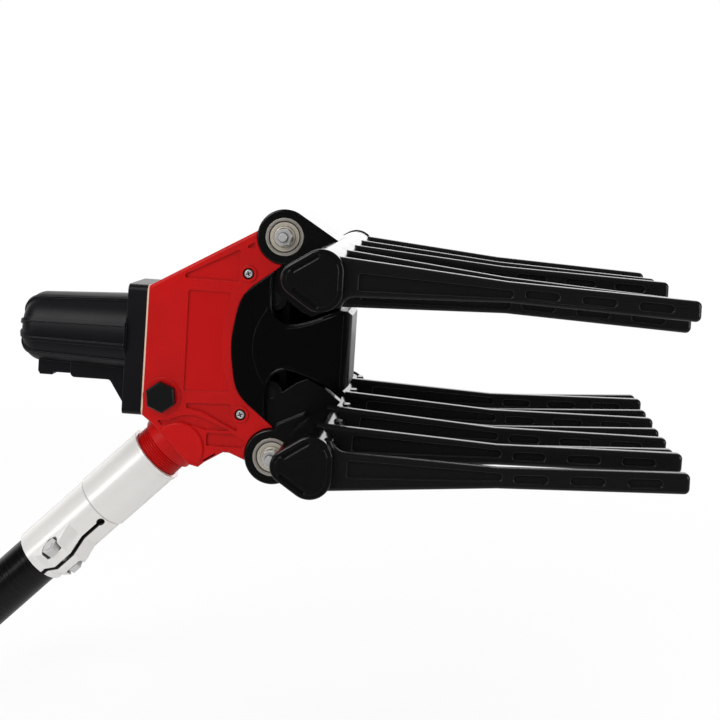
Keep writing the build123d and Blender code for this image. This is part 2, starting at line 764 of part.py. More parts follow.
with BuildPart() as cap_gasket:
    with BuildSketch(across(-GASKET_THICK)):
        with Locations((0, 0.5 * (BODY_TOP + BODY_BOTTOM))):
            RectangleRounded(2 * BODY_HALF, BODY_TOP - BODY_BOTTOM, FLANGE_CORNER)
        Circle(BORE_R + LINER_WALL, mode=Mode.SUBTRACT)
        with Locations(*CAP_SCREWS):
            Circle(CAP_SCREW_R + 0.3, mode=Mode.SUBTRACT)
        with Locations((PORT_Y, PORT_Z)):
            Circle(PORT_R, mode=Mode.SUBTRACT)
    extrude(amount=GASKET_THICK)
save(cap_gasket, "cap_gasket")

with BuildPart() as cap_screws:
    with BuildSketch(across(FLANGE_REAR + CAP_HEAD_DEPTH)):
        with Locations(*CAP_SCREWS):
            Circle(CAP_HEAD_R)
    extrude(amount=-5)
    with BuildSketch(across(FLANGE_REAR + CAP_HEAD_DEPTH)):
        with Locations(*CAP_SCREWS):
            Circle(CAP_SCREW_R)
    extrude(amount=21)
    with BuildSketch(across(FLANGE_REAR + CAP_HEAD_DEPTH - 5)):
        with Locations(*CAP_SCREWS):
            RegularPolygon(2.0, 6, major_radius=False)
    extrude(amount=2.6, mode=Mode.SUBTRACT)
save(cap_screws, "cap_screws")

# Front cover: two side plates joined by a hollow nose, with two fixing tabs
with BuildPart() as front_cover:
    for plane, half_edge in (
        (side(COVER_HALF - COVER_WALL), COVER_NEAR_EDGE),
        (far_side(COVER_HALF - COVER_WALL), COVER_FAR_EDGE),
    ):
        turn = plane.x_dir.X
        edge = half_edge + [(x, -z) for x, z in reversed(half_edge)]
        with BuildSketch(plane):
            with BuildLine():
                Spline(*[(turn * x, z) for x, z in COVER_SEAM])
                Polyline(*[(turn * x, z) for x, z in edge])
            make_face()
        extrude(amount=COVER_WALL)
    with BuildSketch(side()):
        with BuildLine():
            Spline(*[(x + SEAM, z) for x, z in SEAM_POINTS])
            Polyline(
                (SEAM_POINTS[-1][0] + SEAM, SEAM_POINTS[-1][1]),
                (40.0, SEAM_POINTS[-1][1]),
                (40.0, SEAM_POINTS[0][1]),
                (SEAM_POINTS[0][0] + SEAM, SEAM_POINTS[0][1]),
            )
        make_face()
    extrude(amount=COVER_HALF, both=True, mode=Mode.SUBTRACT)
    with BuildSketch(side()):
        with BuildLine():
            Polyline(*NOSE_POINTS, close=True)
        make_face()
        with BuildLine():
            Polyline(*NOSE_HOLLOW, close=True)
        make_face(mode=Mode.SUBTRACT)
    extrude(amount=COVER_HALF - COVER_WALL, both=True)
    nose_edges = front_cover.edges().filter_by(Axis.Z).filter_by(
        lambda e: e.center().X - HEAD_X > COVER_FRONT - 0.1 and abs(e.center().Y) > COVER_HALF - 0.1
    )
    fillet(nose_edges, NOSE_ROUND)
    for plane in (side(COVER_HALF), far_side(COVER_HALF)):
        turn = plane.x_dir.X
        with BuildSketch(plane):
            with BuildLine():
                Spline(*[(turn * x, z) for x, z in PANEL_CURVE])
                Polyline(*[(turn * x, z) for x, z in PANEL_EDGE])
            make_face()
        extrude(amount=PANEL_RISE)
    with BuildSketch(side(TAB_IN)):
        with BuildLine():
            Polyline(*TAB_POINTS, close=True)
        make_face()
        with BuildLine():
            Polyline(*[(x, -z) for x, z in TAB_POINTS], close=True)
        make_face()
    extrude(amount=TAB_OUT - TAB_IN)
    with BuildSketch(side(TAB_IN)):
        with Locations((64.65, 27.5), (64.65, -27.5)):
            Rectangle(4.3, 7.0)
    extrude(amount=COVER_HALF - COVER_WALL - TAB_IN)
    with BuildSketch(side(TAB_OUT)):
        with Locations((SCREW_X, SCREW_Z), (SCREW_X, -SCREW_Z)):
            Circle(SCREW_SHANK_R)
    extrude(amount=TAB_IN - TAB_OUT, mode=Mode.SUBTRACT)
save(front_cover, "front_cover")

with BuildPart() as cover_screws:
    with BuildSketch(side(SCREW_SEAT)):
        with Locations((SCREW_X, SCREW_Z), (SCREW_X, -SCREW_Z)):
            Circle(SCREW_HEAD_R)
    extrude(amount=1.9)
    fillet(cover_screws.faces().filter_by(Axis.Y).sort_by(Axis.Y)[:2].edges(), 0.7)
    with BuildSketch(side(SCREW_SEAT)):
        with Locations((SCREW_X, SCREW_Z), (SCREW_X, -SCREW_Z)):
            Circle(SCREW_SHANK_R)
    extrude(amount=TAB_IN - SCREW_SEAT)
    with BuildSketch(side(SCREW_SEAT + 1.9)):
        with Locations((SCREW_X, SCREW_Z), (SCREW_X, -SCREW_Z)):
            Rectangle(3.4, 0.8, rotation=20)
            Rectangle(0.8, 3.4, rotation=20)
    extrude(amount=-1.2, mode=Mode.SUBTRACT)
save(cover_screws, "cover_screws")

# Air valve: plug, sleeve and spool
with BuildPart() as hex_plug:
    with BuildSketch(side(BODY_HALF + RING_RISE)):
        with Locations((VALVE_X, VALVE_Z)):
            RegularPolygon(0.5 * PLUG_AF, 6, major_radius=False, rotation=PLUG_TURN)
    extrude(amount=PLUG_HEAD)
    chamfer(hex_plug.faces().sort_by(Axis.Y)[0].edges(), 0.8)
    with BuildSketch(side(BODY_HALF + RING_RISE)):
        with Locations((VALVE_X, VALVE_Z)):
            Circle(SLEEVE_R)
    extrude(amount=-(BODY_HALF + RING_RISE - SLEEVE_NEAR))
save(hex_plug, "hex_plug")

with BuildPart() as valve_sleeve:
    with BuildSketch(side(SLEEVE_NEAR)):
        with Locations((VALVE_X, VALVE_Z)):
            Circle(SLEEVE_R)
            Circle(SPOOL_R, mode=Mode.SUBTRACT)
    extrude(amount=-(SLEEVE_NEAR + VALVE_FAR))
    with BuildSketch(Plane(origin=(HEAD_X + VALVE_X, PORT_Y, HEAD_Z + VALVE_Z), z_dir=(0, 0, 1))):
        Circle(PORT_R)
    extrude(amount=SLEEVE_R + 1, mode=Mode.SUBTRACT)
    with BuildSketch(Plane(origin=(HEAD_X + VALVE_X, -PORT_Y, HEAD_Z + VALVE_Z), z_dir=(-1, 0, 0.3))):
        Circle(1.8)
    extrude(amount=SLEEVE_R + 1, mode=Mode.SUBTRACT)
    with BuildSketch(Plane(origin=(HEAD_X + VALVE_X, 0, HEAD_Z + VALVE_Z), z_dir=(1, 0, -1))):
        Circle(2.5)
    extrude(amount=SLEEVE_R + 1, mode=Mode.SUBTRACT)
save(valve_sleeve, "valve_sleeve")

with BuildPart() as valve_spool:
    with BuildSketch(side(SPOOL_HALF)):
        with Locations((VALVE_X, VALVE_Z)):
            Circle(SPOOL_R - SPOOL_FIT)
    extrude(amount=-2 * SPOOL_HALF)
    for middle in (-4.5, 4.5):
        with BuildSketch(side(middle + 2.0)):
            with Locations((VALVE_X, VALVE_Z)):
                Circle(SPOOL_R + 1)
                Circle(2.4, mode=Mode.SUBTRACT)
        extrude(amount=-4.0, mode=Mode.SUBTRACT)
save(valve_spool, "valve_spool")

# Piston group
with BuildPart() as piston:
    with BuildSketch(across(PISTON_REAR)):
        Circle(BORE_R - SLIDE_GAP)
        Circle(ROD_END_R, mode=Mode.SUBTRACT)
    extrude(amount=PISTON_LENGTH)
    for groove in PISTON_GROOVES:
        with BuildSketch(across(PISTON_REAR + groove)):
            Circle(BORE_R + 1)
            Circle(BORE_R - SEAL_DEPTH, mode=Mode.SUBTRACT)
        extrude(amount=SEAL_WIDTH, mode=Mode.SUBTRACT)
save(piston, "piston")

with BuildPart() as piston_seals:
    for groove in PISTON_GROOVES:
        with BuildSketch(across(PISTON_REAR + groove)):
            Circle(BORE_R - RUN_FIT)
            Circle(BORE_R - SEAL_DEPTH, mode=Mode.SUBTRACT)
        extrude(amount=SEAL_WIDTH)
save(piston_seals, "piston_seals")

with BuildPart() as piston_rod:
    with BuildSketch(across(PISTON_REAR - ROD_NUT_HEIGHT - 1.0)):
        Circle(ROD_END_R)
    extrude(amount=PISTON_LENGTH + ROD_NUT_HEIGHT + 1.0)
    with BuildSketch(across(PISTON_REAR + PISTON_LENGTH)):
        Circle(ROD_R)
    extrude(amount=PIN_X - HEAD_BACK - PISTON_REAR - PISTON_LENGTH)
    with BuildSketch(across(PIN_X - HEAD_BACK)):
        Circle(ROD_END_R)
    extrude(amount=ROD_SCREW)
save(piston_rod, "piston_rod")

with BuildPart() as piston_nut:
    with BuildSketch(across(PISTON_REAR)):
        RegularPolygon(6.5, 6, major_radius=False)
        Circle(ROD_END_R, mode=Mode.SUBTRACT)
    extrude(amount=-ROD_NUT_HEIGHT)
save(piston_nut, "piston_nut")

with BuildPart() as crosshead:
    with BuildSketch(side()):
        with Locations((PIN_X, 0)):
            Rectangle(2 * HEAD_BACK, 2 * CROSS_REACH)
        with Locations((PIN_X, PIN_Z), (PIN_X, -PIN_Z)):
            Rectangle(2 * (PIN_R + SLOT_GAP), 2 * (CROSS_REACH - PIN_Z) + 6, mode=Mode.SUBTRACT)
    extrude(amount=CROSS_HALF, both=True)
    chamfer(crosshead.edges().filter_by(Axis.Y), 0.6)
    with BuildSketch(across(PIN_X - HEAD_BACK)):
        Circle(ROD_END_R)
    extrude(amount=ROD_SCREW, mode=Mode.SUBTRACT)
save(crosshead, "crosshead")

# Pivots
with BuildPart() as pivot_bolts:
    with BuildSketch(far_side(ARM_HALF + COLLAR_THICK)):
        with Locations((-PIVOT_X, PIVOT_Z), (-PIVOT_X, -PIVOT_Z)):
            RegularPolygon(0.5 * NUT_AF, 6, major_radius=False)
    extrude(amount=BOLT_HEAD)
    with BuildSketch(far_side(ARM_HALF + COLLAR_THICK)):
        with Locations((-PIVOT_X, PIVOT_Z), (-PIVOT_X, -PIVOT_Z)):
            Circle(BOLT_R)
    extrude(amount=-(2 * (ARM_HALF + COLLAR_THICK) + NUT_HEIGHT + BOLT_TAIL))
    chamfer(pivot_bolts.faces().sort_by(Axis.Y)[:2].edges(), 0.6)
save(pivot_bolts, "pivot_bolts")

with BuildPart() as pivot_nuts:
    with BuildSketch(side(ARM_HALF + COLLAR_THICK)):
        with Locations((PIVOT_X, PIVOT_Z), (PIVOT_X, -PIVOT_Z)):
            RegularPolygon(0.5 * NUT_AF, 6, major_radius=False, rotation=NUT_TURN)
    extrude(amount=NUT_HEIGHT)
    with BuildSketch(side(ARM_HALF + COLLAR_THICK)):
        with Locations((PIVOT_X, PIVOT_Z), (PIVOT_X, -PIVOT_Z)):
            Circle(BOLT_R)
    extrude(amount=NUT_HEIGHT, mode=Mode.SUBTRACT)
save(pivot_nuts, "pivot_nuts")

with BuildPart() as pivot_collars:
    for plane in (side(ARM_HALF), far_side(ARM_HALF)):
        turn = plane.x_dir.X
        with BuildSketch(plane):
            with Locations((turn * PIVOT_X, PIVOT_Z), (turn * PIVOT_X, -PIVOT_Z)):
                Circle(COLLAR_R)
        extrude(amount=COLLAR_THICK)
        with BuildSketch(plane):
            with Locations((turn * PIVOT_X, PIVOT_Z), (turn * PIVOT_X, -PIVOT_Z)):
                Circle(BEARING_BORE_R)
        extrude(amount=-BEARING_WIDTH)
        with BuildSketch(plane.offset(COLLAR_THICK)):
            with Locations((turn * PIVOT_X, PIVOT_Z), (turn * PIVOT_X, -PIVOT_Z)):
                Circle(BOLT_HOLE_R)
        extrude(amount=-(BEARING_WIDTH + COLLAR_THICK), mode=Mode.SUBTRACT)
save(pivot_collars, "pivot_collars")

with BuildPart() as bearing_inner_rings:
    for plane in (side(ARM_HALF), far_side(ARM_HALF)):
        turn = plane.x_dir.X
        with BuildSketch(plane):
            with Locations((turn * PIVOT_X, PIVOT_Z), (turn * PIVOT_X, -PIVOT_Z)):
                Circle(RACE_IN_R)
                Circle(BEARING_BORE_R, mode=Mode.SUBTRACT)
        extrude(amount=-BEARING_WIDTH)
    for z in (PIVOT_Z, -PIVOT_Z):
        for y in (ARM_HALF - 0.5 * BEARING_WIDTH, 0.5 * BEARING_WIDTH - ARM_HALF):
            with Locations(Plane(origin=(HEAD_X + PIVOT_X, y, HEAD_Z + z), z_dir=(0, 1, 0))):
                Torus(BALL_PITCH_R, BALL_R + RUN_FIT, mode=Mode.SUBTRACT)
save(bearing_inner_rings, "bearing_inner_rings")

# Upper comb arm: hooded fork with a drive lever, two bearing seats and a saddle for the bar
with BuildPart() as upper_arm:
    for plane in (side(ARM_INNER), far_side(ARM_INNER)):
        turn = plane.x_dir.X
        with BuildSketch(plane):
            with Locations((turn * PIVOT_X, PIVOT_Z)):
                Circle(EYE_R)
        extrude(amount=ARM_HALF - ARM_INNER)
        fillet(upper_arm.edges().sort_by(Axis.Y)[0 if turn > 0 else -1], ARM_ROUND)
        with BuildSketch(plane):
            with BuildLine():
                Polyline(*[(turn * x, z) for x, z in WEB_POINTS], close=True)
            make_face()
        extrude(amount=ARM_HALF - ARM_INNER)
        with BuildSketch(plane):
            with Locations((turn * PIVOT_X, PIVOT_Z)):
                Circle(LEVER_TOP_R)
            with Locations((turn * PIN_X, PIN_Z)):
                Circle(LEVER_END_R)
            make_hull()
            with BuildLine():
                Polyline(*[(turn * x, z) for x, z in GUSSET_POINTS], close=True)
            make_face()
        extrude(amount=LEVER_HALF - ARM_INNER)
    with BuildSketch(side()):
        with Locations((PIVOT_X, PIVOT_Z)):
            Circle(EYE_R)
            Circle(EYE_R - HOOD_THICK, mode=Mode.SUBTRACT)
        with BuildLine():
            Polyline((PIVOT_X, PIVOT_Z), (81.5, 92.0), (100.0, 96.0), HOOD_START, close=True)
        make_face(mode=Mode.INTERSECT)
        with BuildLine():
            Polyline(HOOD_START, HOOD_END, HOOD_UNDER_END, HOOD_UNDER_START, close=True)
        make_face()
    extrude(amount=ARM_INNER, both=True)
    extrude(bar_outline(side(), BAR_LIP), amount=ARM_HALF, both=True, mode=Mode.SUBTRACT)
    for plane in (side(ARM_HALF), far_side(ARM_HALF)):
        with BuildSketch(plane):
            with Locations((plane.x_dir.X * PIVOT_X, PIVOT_Z)):
                Circle(BEARING_R)
        extrude(amount=-BEARING_WIDTH, mode=Mode.SUBTRACT)
    with BuildSketch(side()):
        with Locations((PIVOT_X, PIVOT_Z)):
            Circle(BEARING_SHOULDER_R)
    extrude(amount=ARM_HALF, both=True, mode=Mode.SUBTRACT)
    with BuildSketch(side()):
        with Locations((PIN_X, PIN_Z)):
            Circle(PIN_R)
    extrude(amount=LEVER_HALF, both=True, mode=Mode.SUBTRACT)
    with BuildSketch(across(BAR_SCREW_END)):
        with Locations((BAR_SCREW_Y, BAR_SCREW_Z), (-BAR_SCREW_Y, BAR_SCREW_Z)):
            Circle(BAR_SCREW_R)
    extrude(amount=30, mode=Mode.SUBTRACT)
save(upper_arm, "upper_arm")

with BuildPart() as upper_drive_pin:
    with BuildSketch(side()):
        with Locations((PIN_X, PIN_Z)):
            Circle(PIN_R)
    extrude(amount=LEVER_HALF, both=True)
    chamfer(upper_drive_pin.edges(), 0.4)
save(upper_drive_pin, "upper_drive_pin")

# Bearing outer rings, shields and balls
with BuildPart() as upper_outer_rings:
    for plane in (side(ARM_HALF), far_side(ARM_HALF)):
        with BuildSketch(plane):
            with Locations((plane.x_dir.X * PIVOT_X, PIVOT_Z)):
                Circle(BEARING_R)
                Circle(RACE_OUT_R, mode=Mode.SUBTRACT)
        extrude(amount=-BEARING_WIDTH)
    for y in (ARM_HALF - 0.5 * BEARING_WIDTH, 0.5 * BEARING_WIDTH - ARM_HALF):
        with Locations(Plane(origin=(HEAD_X + PIVOT_X, y, HEAD_Z + PIVOT_Z), z_dir=(0, 1, 0))):
            Torus(BALL_PITCH_R, BALL_R + RUN_FIT, mode=Mode.SUBTRACT)
save(upper_outer_rings, "upper_outer_rings")

with BuildPart() as upper_shields:
    for depth in (SHIELD_SET, BEARING_WIDTH - SHIELD_SET - SHIELD_THICK):
        for plane in (side(ARM_HALF - depth), far_side(ARM_HALF - depth)):
            with BuildSketch(plane):
                with Locations((plane.x_dir.X * PIVOT_X, PIVOT_Z)):
                    Circle(RACE_OUT_R)
                    Circle(RACE_IN_R + SLIDE_GAP, mode=Mode.SUBTRACT)
            extrude(amount=-SHIELD_THICK)
save(upper_shields, "upper_shields")

with BuildPart() as upper_balls:
    for y in (ARM_HALF - 0.5 * BEARING_WIDTH, 0.5 * BEARING_WIDTH - ARM_HALF):
        with Locations(Plane(origin=(HEAD_X + PIVOT_X, y, HEAD_Z + PIVOT_Z), z_dir=(0, 1, 0))):
            with PolarLocations(BALL_PITCH_R, BALL_COUNT):
                Sphere(BALL_R)
save(upper_balls, "upper_balls")

# Upper comb bar with its tine sockets, end caps and fixing screws
with BuildPart() as upper_bar:
    extrude(bar_outline(side(), BAR_LIP), amount=BAR_HALF, both=True)
    extrude(bar_outline(side(), BAR_LIP + BAR_WALL), amount=BAR_HALF, both=True, mode=Mode.SUBTRACT)
    for number in range(TINE_COUNT):
        drop = ROW_STEP * (number % 2)
        with BuildSketch(side(TINE_FIRST - number * TINE_PITCH)):
            with Locations((BAR_FRONT, TANG_Z - drop)):
                Rectangle(2 * (BAR_FRONT - TANG_END), 2 * (TANG_HALF + TANG_FIT))
        extrude(amount=TANG_THICK + TANG_FIT, both=True, mode=Mode.SUBTRACT)
    with BuildSketch(across(BAR_SCREW_END)):
        with Locations((BAR_SCREW_Y, BAR_SCREW_Z), (-BAR_SCREW_Y, BAR_SCREW_Z)):
            Circle(BAR_SCREW_R)
    extrude(amount=60, mode=Mode.SUBTRACT)
save(upper_bar, "upper_bar")

with BuildPart() as upper_end_caps:
    extrude(bar_outline(side(BAR_HALF), 0), amount=CAP_PLATE - CAP_PANEL_RISE)
    fillet(upper_end_caps.faces().sort_by(Axis.Y)[0].edges(), CAP_ROUND_R)
    extrude(bar_outline(side(BAR_HALF), CAP_PANEL_INSET), amount=CAP_PLATE)
    extrude(bar_outline(side(BAR_HALF), BAR_LIP + BAR_WALL + CAP_FIT), amount=-CAP_PLUG)
    with BuildSketch(side(BAR_HALF)):
        with Locations((BAR_FRONT, TANG_Z)):
            Rectangle(2 * (BAR_FRONT - TANG_END + 1.0), 60)
    extrude(amount=-CAP_PLUG, mode=Mode.SUBTRACT)
    with BuildSketch(side(CAP_OUTER)):
        for x, z, lean in CAP_GROOVES:
            with Locations((x, z)):
                SlotOverall(CAP_GROOVE_LENGTH, CAP_GROOVE_WIDTH, rotation=lean)
    extrude(amount=-CAP_GROOVE_DEPTH, mode=Mode.SUBTRACT)
    mirror(about=CENTRE)
save(upper_end_caps, "upper_end_caps")

with BuildPart() as upper_bar_screws:
    with BuildSketch(across(BAR_SCREW_END)):
        with Locations((BAR_SCREW_Y, BAR_SCREW_Z), (-BAR_SCREW_Y, BAR_SCREW_Z)):
            Circle(BAR_SCREW_R)
    extrude(amount=BAR_FRONT - BAR_LIP - BAR_SCREW_END)
    with BuildSketch(across(BAR_FRONT - BAR_LIP)):
        with Locations((BAR_SCREW_Y, BAR_SCREW_Z), (-BAR_SCREW_Y, BAR_SCREW_Z)):
            Circle(4.4)
    extrude(amount=2.6)
    fillet(upper_bar_screws.faces().sort_by(Axis.X)[-2:].edges(), 1.0)
    with BuildSketch(across(BAR_FRONT - BAR_LIP + 2.6)):
        with Locations((BAR_SCREW_Y, BAR_SCREW_Z), (-BAR_SCREW_Y, BAR_SCREW_Z)):
            RegularPolygon(1.5, 6, major_radius=False)
    extrude(amount=-1.6, mode=Mode.SUBTRACT)
save(upper_bar_screws, "upper_bar_screws")

# Tines: outer row on even places, inner row between them
for leans, comb in ((UPPER_LEANS, "upper"), (LOWER_LEANS, "lower")):
    for number in range(TINE_COUNT):
        near = TINE_FIRST - number * TINE_PITCH
        inner_row = number % 2 == 1
        drop = ROW_STEP if inner_row else 0.0
        middle = leaned(near, drop, leans[number])
        with BuildPart() as tine:
            with BuildSketch(middle):
                with BuildLine():
                    Polyline(
                        (ROOT_X, TINE_IN_ROOT - drop),
                        (ROOT_X, TINE_OUT_ROOT - drop),
                        (TINE_BEND, TINE_OUT_BEND - drop),
                        (TINE_TIP, TINE_OUT_TIP - drop),
                        (TINE_TIP, TINE_IN_TIP - drop),
                        (TINE_BEND, TINE_IN_BEND - drop),
                        close=True,
                    )
                make_face()
                if not inner_row:
                    with BuildLine():
                        Line((ROOT_X, TINE_IN_ROOT + 2), (ROOT_X, FLARE_Z))
                        Line((ROOT_X, FLARE_Z), (FLARE_X, FLARE_Z))
                        RadiusArc((FLARE_X, FLARE_Z), (FLARE_END, FLARE_TOP), FLARE_R)
                        Line((FLARE_END, FLARE_TOP), (FLARE_END, TINE_IN_ROOT + 2))
                        Line((FLARE_END, TINE_IN_ROOT + 2), (ROOT_X, TINE_IN_ROOT + 2))
                    make_face()
            extrude(amount=0.5 * TINE_THICK, both=True)
            fillet(tine.edges().filter_by(Axis.Y).sort_by(Axis.X)[-2:], TIP_ROUND)
            for face in (tine.faces().sort_by(Axis.Y)[0], tine.faces().sort_by(Axis.Y)[-1]):
                fillet(face.edges().filter_by(lambda e: e.center().X - HEAD_X > BAR_FRONT + 8), TINE_ROUND)
            for plane, turn in ((middle.offset(0.5 * TINE_THICK), 1), (middle.offset(-0.5 * TINE_THICK), -1)):
                with BuildSketch(plane) as recess:
                    with BuildLine():
                        Polyline(*[(x, z - drop) for x, z in LONG_RECESS], close=True)
                    make_face()
                    fillet(recess.vertices(), RECESS_CORNER)
                    for place in OVAL_PLACES:
                        with Locations((place, OVAL_Z - TIP_SLOPE * (place - TINE_BEND) - drop)):
                            SlotOverall(OVAL_LENGTH, OVAL_HEIGHT, rotation=-OVAL_TILT)
                extrude(amount=-turn * RECESS_DEPTH, mode=Mode.SUBTRACT)
            extrude(bar_outline(side(near), BAR_LIP), amount=TINE_THICK, both=True, mode=Mode.SUBTRACT)
            with BuildSketch(side(near)):
                with Locations((0.5 * (TANG_END + BAR_FRONT) + 0.5, TANG_Z - drop)):
                    Rectangle(BAR_FRONT - TANG_END + 1.0, 2 * TANG_HALF)
            extrude(amount=TANG_THICK, both=True)
            if comb == "lower":
                mirror(about=MID, mode=Mode.REPLACE)
        save(tine, f"{comb}_tine_{number + 1}")

# Lower comb, the upper one turned over
for upper, label in (
    (upper_arm, "lower_arm"),
    (upper_drive_pin, "lower_drive_pin"),
    (upper_outer_rings, "lower_outer_rings"),
    (upper_shields, "lower_shields"),
    (upper_balls, "lower_balls"),
    (upper_bar, "lower_bar"),
    (upper_end_caps, "lower_end_caps"),
    (upper_bar_screws, "lower_bar_screws"),
):
    with BuildPart() as lower_piece:
        mirror(upper.part, about=MID)
    save(lower_piece, label)

# Pole clamp with its ear, slit and bolt pockets
with BuildPart() as clamp_ear:
    with BuildSketch(EAR_PLANE):
        with BuildLine():
            Polyline(
                (EAR_START, 0),
                (EAR_START, CLAMP_LOW_R - 1.0),
                (EAR_LOW, EAR_REACH),
                (EAR_HIGH, EAR_REACH),
                (EAR_END, CLAMP_LOW_R - 0.5),
                (EAR_END, 0),
                close=True,
            )
        make_face()
    revolve(axis=POLE_AXIS)
    with BuildSketch(Plane(origin=EAR_FOOT, x_dir=EAR_OUT, z_dir=POLE_DIR)):
        with Locations((0.5 * EAR_REACH + 1.0, 0)):
            Rectangle(EAR_REACH + 2.0, 2 * EAR_HALF)
    extrude(amount=EAR_END - EAR_START, mode=Mode.INTERSECT)

with BuildPart() as pole_clamp:
    with BuildSketch(along_pole(CLAMP_STEP)):
        Circle(CLAMP_R)
    extrude(amount=CLAMP_TOP - CLAMP_STEP)
    chamfer(pole_clamp.edges().sort_by(POLE_AXIS)[:1], CLAMP_R - CLAMP_LOW_R - 0.05)
    with BuildSketch(along_pole(CLAMP_TOP - 2.0)):
        Circle(CLAMP_R + 0.4)
    extrude(amount=2.0)
    with BuildSketch(along_pole(CLAMP_END)):
        Circle(CLAMP_LOW_R)
    extrude(amount=CLAMP_STEP - CLAMP_END)
    add(clamp_ear.part)
    with BuildSketch(along_pole(CLAMP_END)):
        Circle(POLE_SEAT_R + POLE_FIT)
    extrude(amount=POLE_TOP + 1.0 - CLAMP_END, mode=Mode.SUBTRACT)
    with BuildSketch(along_pole(CLAMP_END)):
        Circle(POLE_BORE_R)
    extrude(amount=CLAMP_TOP - CLAMP_END, mode=Mode.SUBTRACT)
    with BuildSketch(along_pole(SPIGOT_END - SPIGOT_SEAL)):
        Circle(SPIGOT_R + POLE_FIT)
    extrude(amount=CLAMP_TOP - SPIGOT_END + SPIGOT_SEAL, mode=Mode.SUBTRACT)
    with BuildSketch(EAR_PLANE):
        with BuildLine():
            Polyline(
                (CLAMP_END - 1, 8.0),
                (SLIT_TOP, 8.0),
                (SLIT_TOP, 30.0),
                (CLAMP_END - 1, 30.0),
                close=True,
            )
        make_face()
    extrude(amount=0.5 * SLIT_WIDTH, both=True, mode=Mode.SUBTRACT)
    with BuildSketch(Plane(origin=SLIT_HOLE, z_dir=EAR_OUT)):
        Circle(SLIT_HOLE_R)
    extrude(amount=30, mode=Mode.SUBTRACT)
    with BuildSketch(EAR_PLANE):
        with Locations((CLAMP_BOLT_P, CLAMP_BOLT_OUT)):
            Circle(BOLT_HOLE_R)
    extrude(amount=2 * EAR_HALF, both=True, mode=Mode.SUBTRACT)
    for plane in (EAR_PLANE.offset(BOLT_SEAT), EAR_PLANE.offset(-2 * EAR_HALF)):
        with BuildSketch(plane):
            with Locations((CLAMP_BOLT_P, CLAMP_BOLT_OUT + 0.6)):
                RectangleRounded(BOLT_POCKET, BOLT_POCKET + 0.4, POCKET_ROUND)
        extrude(amount=2 * EAR_HALF - BOLT_SEAT, mode=Mode.SUBTRACT)
save(pole_clamp, "pole_clamp")

with BuildPart() as clamp_bolt:
    with BuildSketch(EAR_PLANE.offset(BOLT_SEAT)):
        with Locations((CLAMP_BOLT_P, CLAMP_BOLT_OUT)):
            RegularPolygon(0.5 * NUT_AF, 6, major_radius=False)
    extrude(amount=BOLT_HEAD)
    chamfer(clamp_bolt.faces().sort_by(Axis(CLAMP_BOLT_AT, EAR_ACROSS))[-1].edges(), 0.5)
    with BuildSketch(EAR_PLANE.offset(BOLT_SEAT)):
        with Locations((CLAMP_BOLT_P, CLAMP_BOLT_OUT)):
            Circle(BOLT_R)
    extrude(amount=-(2 * BOLT_SEAT + NUT_HEIGHT + 0.6))
save(clamp_bolt, "clamp_bolt")

with BuildPart() as clamp_nut:
    with BuildSketch(EAR_PLANE.offset(-BOLT_SEAT)):
        with Locations((CLAMP_BOLT_P, CLAMP_BOLT_OUT)):
            RegularPolygon(0.5 * NUT_AF, 6, major_radius=False)
            Circle(BOLT_R, mode=Mode.SUBTRACT)
    extrude(amount=-NUT_HEIGHT)
save(clamp_nut, "clamp_nut")

with BuildPart() as spigot_seal:
    with BuildSketch(along_pole(SPIGOT_END - SPIGOT_SEAL)):
        Circle(SPIGOT_R - THREAD_DEPTH)
        Circle(POLE_BORE_R, mode=Mode.SUBTRACT)
    extrude(amount=SPIGOT_SEAL)
save(spigot_seal, "spigot_seal")

with BuildPart() as pole:
    with BuildSketch(along_pole(0)):
        Circle(POLE_R)
    extrude(amount=POLE_FREE)
    with BuildSketch(along_pole(POLE_FREE)):
        Circle(POLE_SEAT_R)
    extrude(amount=POLE_TOP - POLE_FREE)
    with BuildSketch(along_pole(0)):
        Circle(POLE_BORE_R)
    extrude(amount=POLE_TOP, mode=Mode.SUBTRACT)
save(pole, "pole")
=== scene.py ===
"""Dresses the harvester head: finishes for every piece, studio light and the camera."""

from math import radians

import bpy
from mathutils import Matrix, Vector


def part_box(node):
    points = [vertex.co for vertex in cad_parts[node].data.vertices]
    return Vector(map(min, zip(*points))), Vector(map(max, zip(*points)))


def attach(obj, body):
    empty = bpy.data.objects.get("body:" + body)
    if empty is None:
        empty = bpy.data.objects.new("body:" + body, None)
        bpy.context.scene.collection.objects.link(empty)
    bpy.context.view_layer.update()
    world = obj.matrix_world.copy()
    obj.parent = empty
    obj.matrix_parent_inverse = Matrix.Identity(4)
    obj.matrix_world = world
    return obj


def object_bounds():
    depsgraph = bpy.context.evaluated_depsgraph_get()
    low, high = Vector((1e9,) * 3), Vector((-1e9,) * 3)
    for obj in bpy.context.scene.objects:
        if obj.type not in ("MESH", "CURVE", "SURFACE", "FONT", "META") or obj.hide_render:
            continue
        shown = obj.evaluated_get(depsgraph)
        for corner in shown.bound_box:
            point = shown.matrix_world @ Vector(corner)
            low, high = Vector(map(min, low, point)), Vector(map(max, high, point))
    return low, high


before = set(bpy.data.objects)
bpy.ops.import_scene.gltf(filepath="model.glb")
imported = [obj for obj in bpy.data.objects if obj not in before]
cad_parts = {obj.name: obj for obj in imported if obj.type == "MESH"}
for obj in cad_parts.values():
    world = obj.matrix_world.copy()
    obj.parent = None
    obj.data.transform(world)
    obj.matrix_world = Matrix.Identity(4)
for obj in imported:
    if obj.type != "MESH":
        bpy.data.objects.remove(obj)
CAD_LOW, CAD_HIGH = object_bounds()

bl_info = {
    "name": "Olive harvester head",
    "version": (1, 0, 0),
    "blender": (4, 5, 0),
    "location": "3D View > Sidebar > Harvester",
    "description": "Finishes, studio light and camera for the harvester head",
    "category": "Object",
}


def middle(name):
    """Middle of the box round a node."""
    low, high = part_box(name)
    return 0.5 * (low + high)


